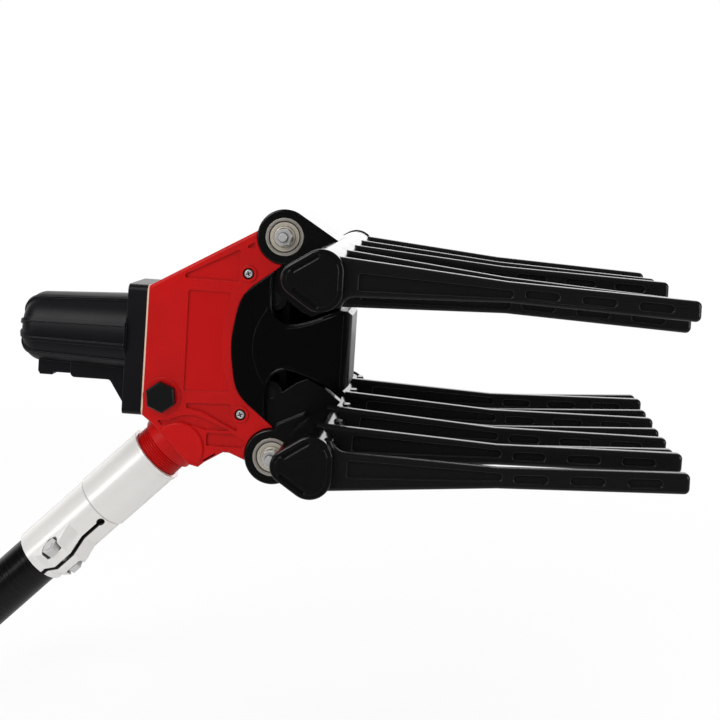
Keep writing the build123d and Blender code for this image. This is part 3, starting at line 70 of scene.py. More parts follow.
COMBS = ("upper", "lower")
TINES = range(1, 10)
TOWARD_TIPS, TO_NEAR_SIDE, TO_FAR_SIDE, UP = (1, 0, 0), (0, -1, 0), (0, 1, 0), (0, 0, 1)
HEAD_MIDDLE = 0.5 * (middle("upper_bar") + middle("lower_bar"))

# Sunk panel of the housing: where its floor lies between the two sides
PANEL_FLOOR = (-0.0217, -0.0205)

# Cover screws: axis of the upper one, then the reach of its bore, its rim and its cross, all darkened as
# painted shade
SCREW_LOW, SCREW_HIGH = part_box("cover_screws")
SCREW_HEAD = 0.0028
SCREW = Vector((0.5 * (SCREW_LOW.x + SCREW_HIGH.x), 0, SCREW_HIGH.z - SCREW_HEAD))
SCREW_BORE = 0.0038
SCREW_BORE_END = -0.016
SCREW_RIM = (0.0022, 0.0036)
CROSS_REACH = 0.0020
CROSS_DEPTH = 0.0003

# Pivots: axis of the upper one, then radii of the nut and of the rings of the bearing
EYE = middle("upper_shields")
NUT_THREAD = (0.0026, 0.0034)
NUT_FOOT = 0.0060
SHIELD_ROLL = (0.0085, 0.0092)
SHIELD_GROOVE = (0.0092, 0.0102)
SHIELD_EDGE = 0.0098
RING_LINE = (0.0105, 0.0110)

# Pole clamp: the ways that its ear and its bolt point, then its bolt, slit and step, round which shade is
# painted
POLE_LINE = Vector((1, 0, 1)).normalized()
EAR_TURN = radians(29)
EAR_LINE = Matrix.Rotation(EAR_TURN, 3, POLE_LINE) @ Vector(TO_NEAR_SIDE)
BOLT_LINE = POLE_LINE.cross(EAR_LINE)
BOLT_UP_POLE = 0.0796
BOLT_OUT = 0.0203
CLAMP_BOLT = BOLT_UP_POLE * POLE_LINE + BOLT_OUT * EAR_LINE
BOLT_SEAT = 0.0077
BOLT_SEAT_REACH = 0.0070
SLIT_REACH = 0.0015
SLIT_TOP = 0.112
SLIT_HOLE = 0.0028
SLIT_FLOOR = 0.008
CLAMP_STEP = (0.1150, 0.1164)

# Softened edges: samples, and the turns of the surface that count as an edge or as facing a way
EDGE_SAMPLES = 6
EDGE_TURN = (0.01, 0.22)
FACING_TURN = (0.90, 0.97)

# Line of the cover lips, from the pivot axis and the middle of the head
LIP_LINE = [
    (-0.0068, 0.0440),
    (-0.0075, 0.0360),
    (-0.0071, 0.0242),
    (-0.0048, 0.0190),
    (-0.0007, 0.0150),
    (0.0050, 0.0131),
    (0.0123, 0.0141),
    (0.0211, 0.0170),
    (0.0275, 0.0197),
]

# Tones of wear, oil and dirt, and tones of painted shade and painted highlight
BORE_PAINTED_SHADE = (0.010, 0.001, 0.001)
CAP_WORN_HIGHLIGHT = (0.048, 0.047, 0.053)
GASKET_STRAND = (0.56, 0.40, 0.29)
CLAMP_HAZE = (0.92, 0.90, 0.875)
CLAMP_RUBBED = (0.95, 0.95, 0.95)
CLAMP_STEP_SHADE = (0.30, 0.29, 0.28)
SLIT_PAINTED_SHADE = (0.020, 0.019, 0.018)
SEAT_PAINTED_SHADE = (0.030, 0.030, 0.030)
POLE_WOUND = (0.0070, 0.0066, 0.0064)
ZINC_DULL = (0.74, 0.74, 0.735)
ZINC_RUBBED = (0.90, 0.91, 0.92)
SCREW_PAINTED_SHADE = (0.030, 0.026, 0.026)
PLUG_RUBBED = (0.022, 0.023, 0.022)
BEARING_OIL = (0.50, 0.45, 0.37)
BEARING_RUBBED = (0.80, 0.78, 0.72)
SHIELD_PAINTED_HIGHLIGHT = (0.96, 0.92, 0.84)
BEARING_PAINTED_SHADE = (0.030, 0.026, 0.020)
INNER_PALE = (0.72, 0.72, 0.73)
INNER_DULL = (0.60, 0.60, 0.62)
CHROME_OILED = (0.66, 0.67, 0.68)
BRASS_DULL = (0.48, 0.32, 0.13)
RUBBER_BLOOM = (0.028, 0.028, 0.028)

# Studio: what the lamps point at, and the place and size of each lamp
AIM = Vector((0.22, 0.0, 0.18))
LAMPS = {
    "key": ((-0.55, -1.0, 0.95), 0.8),
    "top": ((0.30, 0.15, 1.35), 1.3),
    "fill": ((1.35, -0.45, 0.45), 0.7),
    "strip": ((-0.75, -0.87, 0.25), 0.3),
    "back": ((0.40, 1.50, 0.75), 1.8),
}
WHITE = (1, 1, 1, 1)
PAPER = (0.915, 0.915, 0.915, 1)
# The floor gets whiter away from the part, over this distance and from this share of white
FLOOR_FADE = (0.35, 1.1)
FLOOR_NEAR_WHITE = 0.86
# In reflections the floor and the walls go from dim in front to bright behind
FLOOR_TURN = (-0.45, 0.10)
FLOOR_FRONT = 0.05
FLOOR_BACK = 0.5
WALLS_BACK_LINE = (-0.20, 0.97, 0.15)
WALLS_TURN = (0.30, 0.95)
WALLS_FRONT = 0.03
WALLS_BACK = 1.0

# Camera: its place, its own right and down, and the shift of its lens
CAMERA_SPOT = (0.30311, -0.77744, 0.31198)
CAMERA_RIGHT = Vector((0.99701, 0.04605, 0.06201))
CAMERA_DOWN = Vector((0.06290, -0.01801, -0.99786))
CAMERA_SHIFT = (-0.0626, -0.2293)
CAMERA_SENSOR = 36.0
CAMERA_NEAREST = 0.01


class Value:
    """A number on a surface. Sums with it add Math nodes."""

    def __init__(self, finish, socket):
        self.finish = finish
        self.socket = socket

    def _sum(self, operation, first, second):
        return self.finish.node("ShaderNodeMath", {"operation": operation}, {0: first, 1: second})

    def __add__(self, other):
        return self._sum("ADD", self, other)

    def __radd__(self, other):
        return self._sum("ADD", other, self)

    def __sub__(self, other):
        return self._sum("SUBTRACT", self, other)

    def __rsub__(self, other):
        return self._sum("SUBTRACT", other, self)

    def __mul__(self, other):
        return self._sum("MULTIPLY", self, other)

    def __rmul__(self, other):
        return self._sum("MULTIPLY", other, self)

    def __pow__(self, other):
        return self._sum("POWER", self, other)

    def __rpow__(self, other):
        return self._sum("POWER", other, self)


class Finish:
    """The nodes of one material or of the world."""

    def __init__(self, owner):
        owner.use_nodes = True
        self.owner = owner
        self.tree = owner.node_tree
        self.tree.nodes.clear()

    def node(self, kind, settings=None, inputs=None, out=0):
        """Adds a node: its settings first, then its sockets, and gives one of its outputs."""
        made = self.tree.nodes.new(kind)
        for key, value in (settings or {}).items():
            setattr(made, key, value)
        for key, value in (inputs or {}).items():
            if isinstance(value, Value):
                self.tree.links.new(value.socket, made.inputs[key])
            else:
                made.inputs[key].default_value = value
        return Value(self, made.outputs[out]) if made.outputs else None

    def place(self):
        """Point on the piece, in metres of the shared frame at rest."""
        return self.node("ShaderNodeTexCoord", out="Object")

    def flat(self):
        """Normal of the surface before any softening."""
        return self.node("ShaderNodeNewGeometry", out="Normal")

    def away(self, spot):
        """Way from a spot to the point on the piece."""
        settings = {"operation": "SUBTRACT"}
        return self.node("ShaderNodeVectorMath", settings, {0: self.place(), 1: spot})

    def dot(self, first, second):
        """How far one vector reaches along another."""
        settings = {"operation": "DOT_PRODUCT"}
        return self.node("ShaderNodeVectorMath", settings, {0: first, 1: second}, out="Value")

    def length(self, vector):
        """Length of a vector."""
        settings = {"operation": "LENGTH"}
        return self.node("ShaderNodeVectorMath", settings, {0: vector}, out="Value")

    def absolute(self, value):
        """Number without its sign."""
        return self.node("ShaderNodeMath", {"operation": "ABSOLUTE"}, {0: value})

    def larger(self, first, second):
        """Larger of two numbers."""
        return self.node("ShaderNodeMath", {"operation": "MAXIMUM"}, {0: first, 1: second})

    def along(self, direction, start=(0, 0, 0)):
        """How far a point lies along a direction."""
        return self.dot(self.away(start), direction)

    def from_pair(self, spot):
        """Distance from the nearer of two cross axes, one above and one below the middle."""
        side = self.along(TOWARD_TIPS, spot)
        height = self.absolute(self.along(UP, HEAD_MIDDLE)) - (spot.z - HEAD_MIDDLE.z)
        return (side * side + height * height) ** 0.5

    def from_line(self, spot, line):
        """Distance from an axis through a spot."""
        run = self.along(line, spot)
        reach = self.length(self.away(spot))
        return (reach * reach - run * run) ** 0.5

    def noise(self, scale, detail=3.0, rough=0.55, stretch=None):
        """Cloudy pattern from 0 to 1, with scale in lumps per metre."""
        spot = self.place()
        if stretch:
            spot = self.node("ShaderNodeMapping", None, {"Vector": spot, "Scale": stretch})
        sizes = {"Vector": spot, "Scale": scale, "Detail": detail, "Roughness": rough}
        return self.node("ShaderNodeTexNoise", None, sizes)

    def rings(self, value, scale, detail=2.0):
        """Fine lines that follow one number, such as turning marks along an axis."""
        sizes = {"W": value, "Scale": scale, "Detail": detail}
        return self.node("ShaderNodeTexNoise", {"noise_dimensions": "1D"}, sizes)

    def spread(self, value, low, high, to_low=0.0, to_high=1.0):
        """Maps one range to another with soft ends."""
        sizes = {"Value": value, "From Min": low, "From Max": high, "To Min": to_low, "To Max": to_high}
        return self.node("ShaderNodeMapRange", {"interpolation_type": "SMOOTHSTEP"}, sizes)

    def beyond(self, value, limit, fade=0.0002):
        """1 past a limit, with a soft end just past it."""
        return self.spread(value, limit, limit + fade)

    def within(self, value, limit, fade=0.0002):
        """1 up to a limit, with a soft end just before it."""
        return 1 - self.spread(value, limit - fade, limit)

    def band(self, value, limits, fade=0.0002):
        """1 between two limits, with soft ends just inside them."""
        low, high = limits
        return self.beyond(value, low, fade) * self.within(value, high, fade)

    def mix(self, amount, first, second):
        """Colour between two colours."""
        first = first if isinstance(first, Value) else (*first, 1)
        second = (*second, 1)
        return self.node("ShaderNodeMix", {"data_type": "RGBA"}, {0: amount, 6: first, 7: second}, out=2)

    def rounded(self, reach):
        """Normal of an edge softened over a small reach."""
        return self.node("ShaderNodeBevel", {"samples": EDGE_SAMPLES}, {"Radius": reach})

    def edges(self, reach):
        """About 1 on an edge or corner and 0 on a flat."""
        return self.spread(1 - self.dot(self.rounded(reach), self.flat()), *EDGE_TURN)

    def facing(self, direction):
        """About 1 where the surface faces a direction and 0 elsewhere."""
        return self.spread(self.dot(self.flat(), direction), *FACING_TURN)

    def bump(self, height, depth, under=None):
        """Normal with a relief of that depth in metres."""
        sockets = {"Strength": 1.0, "Distance": depth, "Height": height}
        if under:
            sockets["Normal"] = under
        return self.node("ShaderNodeBump", None, sockets)

    def ray(self, kind):
        """1 for one kind of ray, such as those from the camera."""
        return self.node("ShaderNodeLightPath", out=kind)

    def glow(self, strength):
        """White surface that shines by itself."""
        return self.node("ShaderNodeEmission", None, {"Color": WHITE, "Strength": strength})

    def blend(self, amount, first, second):
        """Surface between two surfaces."""
        return self.node("ShaderNodeMixShader", None, {0: amount, 1: first, 2: second})

    def surface(self, **sockets):
        """Closes a material with its shader, whose socket names are written with underscores."""
        named = {key.replace("_", " "): value for key, value in sockets.items()}
        shader = self.node("ShaderNodeBsdfPrincipled", None, named)
        self.node("ShaderNodeOutputMaterial", None, {"Surface": shader})
        return self.owner


def new_finish(name):
    """Empty finish named for a material slot of the part."""
    return Finish(bpy.data.materials.new(name))


def dress(material, *names):
    """Gives a finish to whole nodes."""
    for name in names:
        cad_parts[name].material_slots[0].material = material


def both(*names):
    """Node names of the two combs."""
    return [f"{comb}_{name}" for comb in COMBS for name in names]


def colour_prop(name, description, default):
    """Colour picker property."""
    return bpy.props.FloatVectorProperty(
        name=name, description=description, default=default, subtype="COLOR", size=3, min=0.0, max=1.0
    )


def length_prop(name, description, default):
    """Length property in metres."""
    return bpy.props.FloatProperty(
        name=name, description=description, default=default, unit="LENGTH", precision=4
    )


def power_prop(name, description, default):
    """Lamp power property in watts."""
    return bpy.props.FloatProperty(name=name, description=description, default=default, unit="POWER")


class HousingLook(bpy.types.PropertyGroup):
    """Colours of the housing, its rear cap and the gasket."""

    red: colour_prop("Red", "Main colour of the housing", (0.50, 0.0020, 0.0020))
    red_deep: colour_prop("Deep red", "Darker clouds in the red", (0.44, 0.0016, 0.0016))
    red_rubbed: colour_prop("Rubbed red", "Edges of the housing", (0.58, 0.016, 0.016))
    red_panel: colour_prop("Panel red", "Floor of the sunk panel", (0.475, 0.0004, 0.0004))
    cap_black: colour_prop("Cap black", "Grained rear cap", (0.0048, 0.0046, 0.0062))
    gasket: colour_prop("Gasket", "Fibre gasket between cap and housing", (0.74, 0.56, 0.43))
    grain: length_prop("Grain depth", "Relief of the moulded grain", 0.00003)


class CombLook(bpy.types.PropertyGroup):
    """Colours of the cover, arms, bars and tines."""

    cover: colour_prop("Cover black", "Front cover and its lips", (0.0011, 0.0010, 0.0010))
    gloss: colour_prop("Gloss black", "Arms, bars and end caps", (0.0042, 0.0040, 0.0039))
    # Lighter edges of the glossy pieces: partly wear, partly painted highlight
    gloss_worn_highlight: colour_prop("Worn gloss and highlight", "Edges of the glossy pieces", (0.022, 0.0215, 0.022))
    lip: length_prop("Lip", "Half width of the lips round the cover openings", 0.0008)
    tine: colour_prop("Tine black", "Moulded tines", (0.0066, 0.0064, 0.0063))
    # Lighter tine edges: partly scuffs, partly painted highlight on the recess outlines
    tine_scuff_highlight: colour_prop("Tine scuff and highlight", "Rubbed tine edges and painted highlight", (0.060, 0.058, 0.057))


class MetalLook(bpy.types.PropertyGroup):
    """Colours of the metal pieces, the pole and the seals."""

    aluminium: colour_prop("Aluminium", "Turned pole clamp", (0.95, 0.935, 0.91))
    zinc: colour_prop("Zinc", "Plated screws, bolts and nuts", (0.88, 0.88, 0.87))
    bearing: colour_prop("Bearing steel", "Bearing rings and balls", (0.58, 0.54, 0.49))
    shield: colour_prop("Bearing shield", "Bearing shields and pivot collars", (0.88, 0.80, 0.68))
    dark: colour_prop("Dark steel", "Hexagon plug, pins and crosshead", (0.0042, 0.0048, 0.0046))
    chrome: colour_prop("Chrome", "Piston rod", (0.78, 0.79, 0.80))
    brass: colour_prop("Brass", "Bush and valve sleeve", (0.70, 0.48, 0.20))
    rubber: colour_prop("Rubber", "Seals", (0.010, 0.010, 0.010))
    pole: colour_prop("Pole black", "Black pole tube", (0.0026, 0.0024, 0.0023))


class StageLook(bpy.types.PropertyGroup):
    """Floor, lens and light of the studio."""

    floor_drop: length_prop("Floor drop", "Floor below the lowest point of the part", 0.03)
    floor_size: length_prop("Floor size", "Side of the square floor", 8.0)
    lens: bpy.props.FloatProperty(
        name="Lens", description="Focal length of the camera", default=60.0, subtype="DISTANCE_CAMERA"
    )
    key: power_prop("Key light", "Power of the key lamp", 8.0)
    top: power_prop("Top light", "Power of the lamp above", 8.0)
    back: power_prop("Back light", "Power of the lamp behind", 8.0)
    fill: power_prop("Fill light", "Power of the right lamp", 3.0)
    strip: power_prop("Strip light", "Power of the small left lamp", 0.6)
    ambient: bpy.props.FloatProperty(name="Ambient", description="Light from all round", default=0.58)


class HARVESTER_OT_housing(bpy.types.Operator):
    """Red moulded housing with cloudy tone, faint grain and painted shade in the screw bores"""

    bl_idname = "harvester.housing"
    bl_label = "Housing"

    def execute(self, context):
        look = context.scene.harvester_housing
        finish = new_finish("red_shell_finish")
        cloud = finish.noise(scale=34, detail=4)
        fleck = finish.noise(scale=420)
        grain = finish.noise(scale=2300, detail=2)
        edge_mask = finish.edges(reach=0.0007)
        across = finish.along(TO_FAR_SIDE)
        sunk = finish.band(across, PANEL_FLOOR) * finish.facing(TO_NEAR_SIDE)
        # Painted shade in the counterbores round the cover screws, on the near side only
        bore_shade = finish.within(finish.from_pair(SCREW), SCREW_BORE, fade=0.0003)
        bore_shade = bore_shade * finish.within(across, SCREW_BORE_END, fade=0.002)
        red = finish.mix(finish.spread(cloud, 0.3, 0.7), look.red, look.red_deep)
        red = finish.mix(sunk, red, look.red_panel)
        red = finish.mix(edge_mask * 0.35, red, look.red_rubbed)
        red = finish.mix(bore_shade * 0.92, red, BORE_PAINTED_SHADE)
        rough = 0.24 + 0.12 * cloud + 0.06 * fleck
        normal = finish.bump(grain, look.grain, finish.rounded(reach=0.0006))
        material = finish.surface(
            Base_Color=red, Roughness=rough, Normal=normal, Specular_IOR_Level=0.20
        )
        dress(material, "main_body")
        return {"FINISHED"}


class HARVESTER_OT_rear_cap(bpy.types.Operator):
    """Grained black rear cap with edges lightened as wear and painted highlight, and the pale gasket
    behind its flange
    """

    bl_idname = "harvester.rear_cap"
    bl_label = "Rear cap and gasket"

    def execute(self, context):
        look = context.scene.harvester_housing
        finish = new_finish("black_satin_finish")
        cloud = finish.noise(scale=60)
        grain = finish.noise(scale=1900, rough=0.7)
        edge_mask = finish.edges(reach=0.0009)
        # Edges and rib edges lightened: partly wear, partly painted highlight
        black = finish.mix(edge_mask * 0.7, look.cap_black, CAP_WORN_HIGHLIGHT)
        rough = 0.32 + 0.12 * cloud + 0.06 * grain
        normal = finish.bump(grain, 1.3 * look.grain, finish.rounded(reach=0.0006))
        material = finish.surface(
            Base_Color=black, Roughness=rough, Normal=normal, Specular_IOR_Level=0.28
        )
        dress(material, "rear_cap")

        finish = new_finish("gasket_fibre_finish")
        strand = finish.noise(scale=700, detail=4, rough=0.6, stretch=(0.3, 1, 1))
        tone = finish.mix(strand, look.gasket, GASKET_STRAND)
        rough = 0.78 + 0.1 * strand
        normal = finish.bump(strand, depth=0.00006)
        dress(finish.surface(Base_Color=tone, Roughness=rough, Normal=normal), "cap_gasket")
        return {"FINISHED"}


class HARVESTER_OT_gloss(bpy.types.Operator):
    """Glossy black cover, arms, bars and end caps with flow lines, finger smears, and edges lightened as
    wear and painted highlight
    """

    bl_idname = "harvester.gloss"
    bl_label = "Cover, arms and bars"

    def execute(self, context):
        look = context.scene.harvester_comb
        self.black(look, "cover_gloss_finish", look.cover, ["front_cover"], end_dull=0.22)
        self.black(look, "black_gloss_finish", look.gloss, both("arm", "bar", "end_caps"))
        return {"FINISHED"}

    def black(self, look, name, tone, pieces, end_dull=0.0):
        """Glossy black of one tone, which may be duller on the end that faces the tine tips."""
        finish = new_finish(name)
        flow = finish.noise(scale=26, stretch=(1, 0.5, 1.6))
        smear = finish.noise(scale=90, detail=4, rough=0.65)
        pit = finish.noise(scale=1500, detail=2)
        edge_mask = finish.edges(reach=0.0006)
        # Edges lightened: partly wear, partly painted highlight
        black = finish.mix(edge_mask * 0.4, tone, look.gloss_worn_highlight)
        rough = 0.09 + 0.08 * finish.spread(smear, 0.45, 0.75) + 0.03 * pit
        if end_dull:
            rough = rough + end_dull * finish.facing(TOWARD_TIPS)
        normal = finish.bump(flow + 0.12 * pit, 0.00012, finish.rounded(reach=0.0007))
        dress(finish.surface(Base_Color=black, Roughness=rough, Normal=normal), *pieces)


class HARVESTER_OT_lips(bpy.types.Operator):
    """Rolled lips round the two arm openings of the front cover"""

    bl_idname = "harvester.lips"
    bl_label = "Cover lips"

    def execute(self, context):
        look = context.scene.harvester_comb
        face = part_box("front_cover")[0].y
        for side, turn in (("upper", 1), ("lower", -1)):
            line = bpy.data.curves.new(f"cover_lip_{side}", "CURVE")
            line.dimensions = "3D"
            line.bevel_depth = look.lip
            line.bevel_resolution = 3
            line.resolution_u = 6
            line.use_fill_caps = True
            spline = line.splines.new("NURBS")
            spline.points.add(len(LIP_LINE) - 1)
            for point, (x, z) in zip(spline.points, LIP_LINE):
                point.co = (EYE.x + x, face + look.lip, HEAD_MIDDLE.z + turn * z, 1)
            spline.order_u = 4
            spline.use_endpoint_u = True
            lip = bpy.data.objects.new(f"cover_lip_{side}", line)
            context.scene.collection.objects.link(lip)
            line.materials.append(bpy.data.materials["cover_gloss_finish"])
            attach(lip, "head")
        return {"FINISHED"}


class HARVESTER_OT_tines(bpy.types.Operator):
    """Black moulded tines with drawn streaks, and edges lightened as scuffs and painted highlight"""

    bl_idname = "harvester.tines"
    bl_label = "Tines"

    def execute(self, context):
        look = context.scene.harvester_comb
        finish = new_finish("tine_black_finish")
        streak = finish.noise(scale=260, rough=0.6, stretch=(0.08, 1, 1))
        cloud = finish.noise(scale=45)
        scuff = finish.noise(scale=180, detail=5, rough=0.7, stretch=(0.35, 1, 1))
        edge_mask = finish.edges(reach=0.0006)
        # Edges lightened: partly scuffs, partly painted highlight
        black = finish.mix(edge_mask * 0.5, look.tine, look.tine_scuff_highlight)
        rough = 0.13 + 0.08 * cloud + 0.05 * streak + 0.12 * finish.spread(scuff, 0.62, 0.78)
        normal = finish.bump(streak, 0.00005, finish.rounded(reach=0.0006))
        material = finish.surface(Base_Color=black, Roughness=rough, Normal=normal)
        dress(material, *both(*[f"tine_{number}" for number in TINES]))
        return {"FINISHED"}


class HARVESTER_OT_clamp(bpy.types.Operator):
    """Turned aluminium pole clamp with lathe lines, haze, and painted shade along the step, in the slit
    and in the bolt seats
    """

    bl_idname = "harvester.clamp"
    bl_label = "Pole clamp"

    def execute(self, context):
        look = context.scene.harvester_metal
        finish = new_finish("bright_aluminium_finish")
        up_pole = finish.along(POLE_LINE)
        lathe = finish.rings(up_pole, scale=2600)
        haze = finish.noise(scale=45, detail=2, rough=0.5)
        edge_mask = finish.edges(reach=0.0006)
        step_shade = finish.band(up_pole, CLAMP_STEP, fade=0.0004)
        across = finish.absolute(finish.along(BOLT_LINE))
        tone = finish.mix(haze, look.aluminium, CLAMP_HAZE)
        tone = finish.mix(edge_mask * 0.5, tone, CLAMP_RUBBED)
        # Painted shade: a dark line along the step, the slit walls and hole, and the bolt pockets
        tone = finish.mix(step_shade * 0.6, tone, CLAMP_STEP_SHADE)
        tone = finish.mix(self.slit(finish, up_pole, across) * 0.95, tone, SLIT_PAINTED_SHADE)
        tone = finish.mix(self.seats(finish, across) * 0.85, tone, SEAT_PAINTED_SHADE)
        rough = 0.22 + 0.04 * haze + 0.03 * lathe
        normal = finish.bump(lathe, 0.0000012, finish.rounded(reach=0.0006))
        material = finish.surface(Base_Color=tone, Metallic=0.3, Roughness=rough, Normal=normal)
        dress(material, "pole_clamp")
        return {"FINISHED"}

    def slit(self, finish, up_pole, across):
        """Painted shade on the walls of the slit and of the hole at its end."""
        walls = finish.within(across, SLIT_REACH) * finish.within(up_pole, SLIT_TOP, fade=0.0005)
        hole = finish.within(finish.from_line(SLIT_TOP * POLE_LINE, EAR_LINE), SLIT_HOLE)
        ear_side = finish.beyond(finish.along(EAR_LINE), SLIT_FLOOR, fade=0.001)
        return finish.larger(walls, hole) * ear_side

    def seats(self, finish, across):
        """Painted shade in the pockets for the head and the nut of the bolt."""
        from_bolt = finish.from_line(CLAMP_BOLT, BOLT_LINE)
        return finish.within(from_bolt, BOLT_SEAT_REACH, fade=0.0006) * finish.beyond(across, BOLT_SEAT)


class HARVESTER_OT_pole(bpy.types.Operator):
    """Black pole tube with fine rings round it"""

    bl_idname = "harvester.pole"
    bl_label = "Pole"

    def execute(self, context):
        look = context.scene.harvester_metal
        finish = new_finish("pole_black_finish")
        wound = finish.rings(finish.along(POLE_LINE), scale=620)
        cloud = finish.noise(scale=50)
        black = finish.mix(finish.spread(wound, 0.5, 0.8), look.pole, POLE_WOUND)
        rough = 0.15 + 0.08 * cloud + 0.10 * wound
        normal = finish.bump(wound, 0.00012, finish.rounded(reach=0.0006))
        material = finish.surface(
            Base_Color=black, Roughness=rough, Normal=normal, Specular_IOR_Level=0.34
        )
        dress(material, "pole")
        return {"FINISHED"}


class HARVESTER_OT_fasteners(bpy.types.Operator):
    """Zinc plated screws, bolts and nuts with painted shade at screw rims, crosses and bolt threads, and
    the blackened plug, pins and crosshead
    """

    bl_idname = "harvester.fasteners"
    bl_label = "Fasteners"

    def execute(self, context):
        look = context.scene.harvester_metal
        finish = new_finish("zinc_steel_finish")
        cloud = finish.noise(scale=300, detail=4, rough=0.6)
        speck = finish.noise(scale=2400)
        edge_mask = finish.edges(reach=0.0004)
        from_screw = finish.from_pair(SCREW)
        # Painted shade: a dark rim round each cover screw head, inside its cross, and a ring round the
        # pivot bolt ends
        rim = finish.band(from_screw, SCREW_RIM, fade=0.0004)
        deep = finish.along(TO_FAR_SIDE, (0, SCREW_LOW.y, 0))
        cross = finish.beyond(deep, CROSS_DEPTH) * finish.within(from_screw, CROSS_REACH)
        thread = finish.band(finish.from_pair(EYE), NUT_THREAD)
        tone = finish.mix(cloud, look.zinc, ZINC_DULL)
        tone = finish.mix(edge_mask * 0.5, tone, ZINC_RUBBED)
        tone = finish.mix(rim * 0.8 + thread * 0.7 + cross * 0.85, tone, SCREW_PAINTED_SHADE)
        rough = 0.20 + 0.16 * cloud + 0.05 * speck
        normal = finish.bump(speck, 0.00002, finish.rounded(reach=0.0004))
        material = finish.surface(Base_Color=tone, Metallic=0.6, Roughness=rough, Normal=normal)
        dress(material, "cap_screws", "cover_screws", "pivot_bolts", "pivot_nuts")
        dress(material, "clamp_bolt", "clamp_nut", *both("bar_screws"))

        finish = new_finish("dark_steel_finish")
        cloud = finish.noise(scale=260, detail=4)
        edge_mask = finish.edges(reach=0.0006)
        tone = finish.mix(edge_mask * 0.5, look.dark, PLUG_RUBBED)
        rough = 0.26 + 0.16 * cloud
        normal = finish.bump(cloud, 0.00006, finish.rounded(reach=0.0005))
        material = finish.surface(Base_Color=tone, Roughness=rough, Normal=normal)
        dress(material, "hex_plug", "crosshead", *both("drive_pin"))
        return {"FINISHED"}


class HARVESTER_OT_bearings(bpy.types.Operator):
    """Bearing rings, shields, balls and collars with ground rings round each pivot, a painted highlight
    on the shields and painted shade in the grooves and round the nut's foot
    """

    bl_idname = "harvester.bearings"
    bl_label = "Bearings"

    def execute(self, context):
        look = context.scene.harvester_metal
        finish = new_finish("bearing_steel_finish")
        out = finish.from_pair(EYE)
        ground = finish.rings(out, scale=2600, detail=3)
        oil = finish.noise(scale=220, detail=4, rough=0.6)
        edge_mask = finish.edges(reach=0.0004)
        rolled_highlight = finish.band(out, SHIELD_ROLL)
        groove_shade = finish.band(out, SHIELD_GROOVE)
        line = finish.band(out, RING_LINE)
        foot_shade = finish.within(out, NUT_FOOT, fade=0.0006)
        tone = finish.mix(finish.within(out, SHIELD_EDGE), look.bearing, look.shield)
        tone = finish.mix(oil * 0.4, tone, BEARING_OIL)
        tone = finish.mix(edge_mask * 0.5, tone, BEARING_RUBBED)
        # Painted highlight: a bright band on the rolled edge of the shields
        tone = finish.mix(rolled_highlight * 0.6, tone, SHIELD_PAINTED_HIGHLIGHT)
        # Painted shade in the groove by the shield, on the ring line and round the foot of the nut
        tone = finish.mix(groove_shade * 0.94 + line * 0.4 + foot_shade * 0.7, tone, BEARING_PAINTED_SHADE)
        rough = 0.18 + 0.16 * oil + 0.10 * ground
        normal = finish.bump(ground, 0.00002, finish.rounded(reach=0.0004))
        material = finish.surface(Base_Color=tone, Metallic=0.6, Roughness=rough, Normal=normal)
        dress(material, "bearing_inner_rings", "pivot_collars", *both("outer_rings", "shields", "balls"))
        return {"FINISHED"}


class HARVESTER_OT_drive(bpy.types.Operator):
    """Air cylinder, piston, rod, valve and seals inside the head"""

    bl_idname = "harvester.drive"
    bl_label = "Air drive"

    def execute(self, context):
        look = context.scene.harvester_metal
        finish = new_finish("inner_aluminium_finish")
        turned = finish.rings(finish.along(TOWARD_TIPS), scale=1400, detail=3)
        haze = finish.noise(scale=160)
        tone = finish.mix(haze, INNER_PALE, INNER_DULL)
        rough = 0.26 + 0.2 * turned
        normal = finish.bump(turned, depth=0.00003)
        material = finish.surface(Base_Color=tone, Metallic=1.0, Roughness=rough, Normal=normal)
        dress(material, "cylinder_liner", "piston", "valve_spool")

        finish = new_finish("rod_chrome_finish")
        turned = finish.rings(finish.along(TOWARD_TIPS), scale=3000)
        oil = finish.noise(scale=240)
        tone = finish.mix(oil, look.chrome, CHROME_OILED)
        rough = 0.10 + 0.10 * oil
        normal = finish.bump(turned, depth=0.00001)
        material = finish.surface(Base_Color=tone, Metallic=1.0, Roughness=rough, Normal=normal)
        dress(material, "piston_rod", "piston_nut")

        finish = new_finish("bush_brass_finish")
        turned = finish.rings(finish.along(TOWARD_TIPS), scale=1800, detail=3)
        dull = finish.noise(scale=300, detail=4)
        tone = finish.mix(dull, look.brass, BRASS_DULL)
        rough = 0.24 + 0.2 * dull
        normal = finish.bump(turned, depth=0.00002)
        material = finish.surface(Base_Color=tone, Metallic=1.0, Roughness=rough, Normal=normal)
        dress(material, "rod_bush", "valve_sleeve")

        finish = new_finish("seal_rubber_finish")
        bloom = finish.noise(scale=500, detail=4, rough=0.6)
        tone = finish.mix(bloom, look.rubber, RUBBER_BLOOM)
        rough = 0.55 + 0.2 * bloom
        normal = finish.bump(bloom, depth=0.00004)
        material = finish.surface(Base_Color=tone, Roughness=rough, Normal=normal)
        dress(material, "rod_seal", "piston_seals", "spigot_seal")
        return {"FINISHED"}


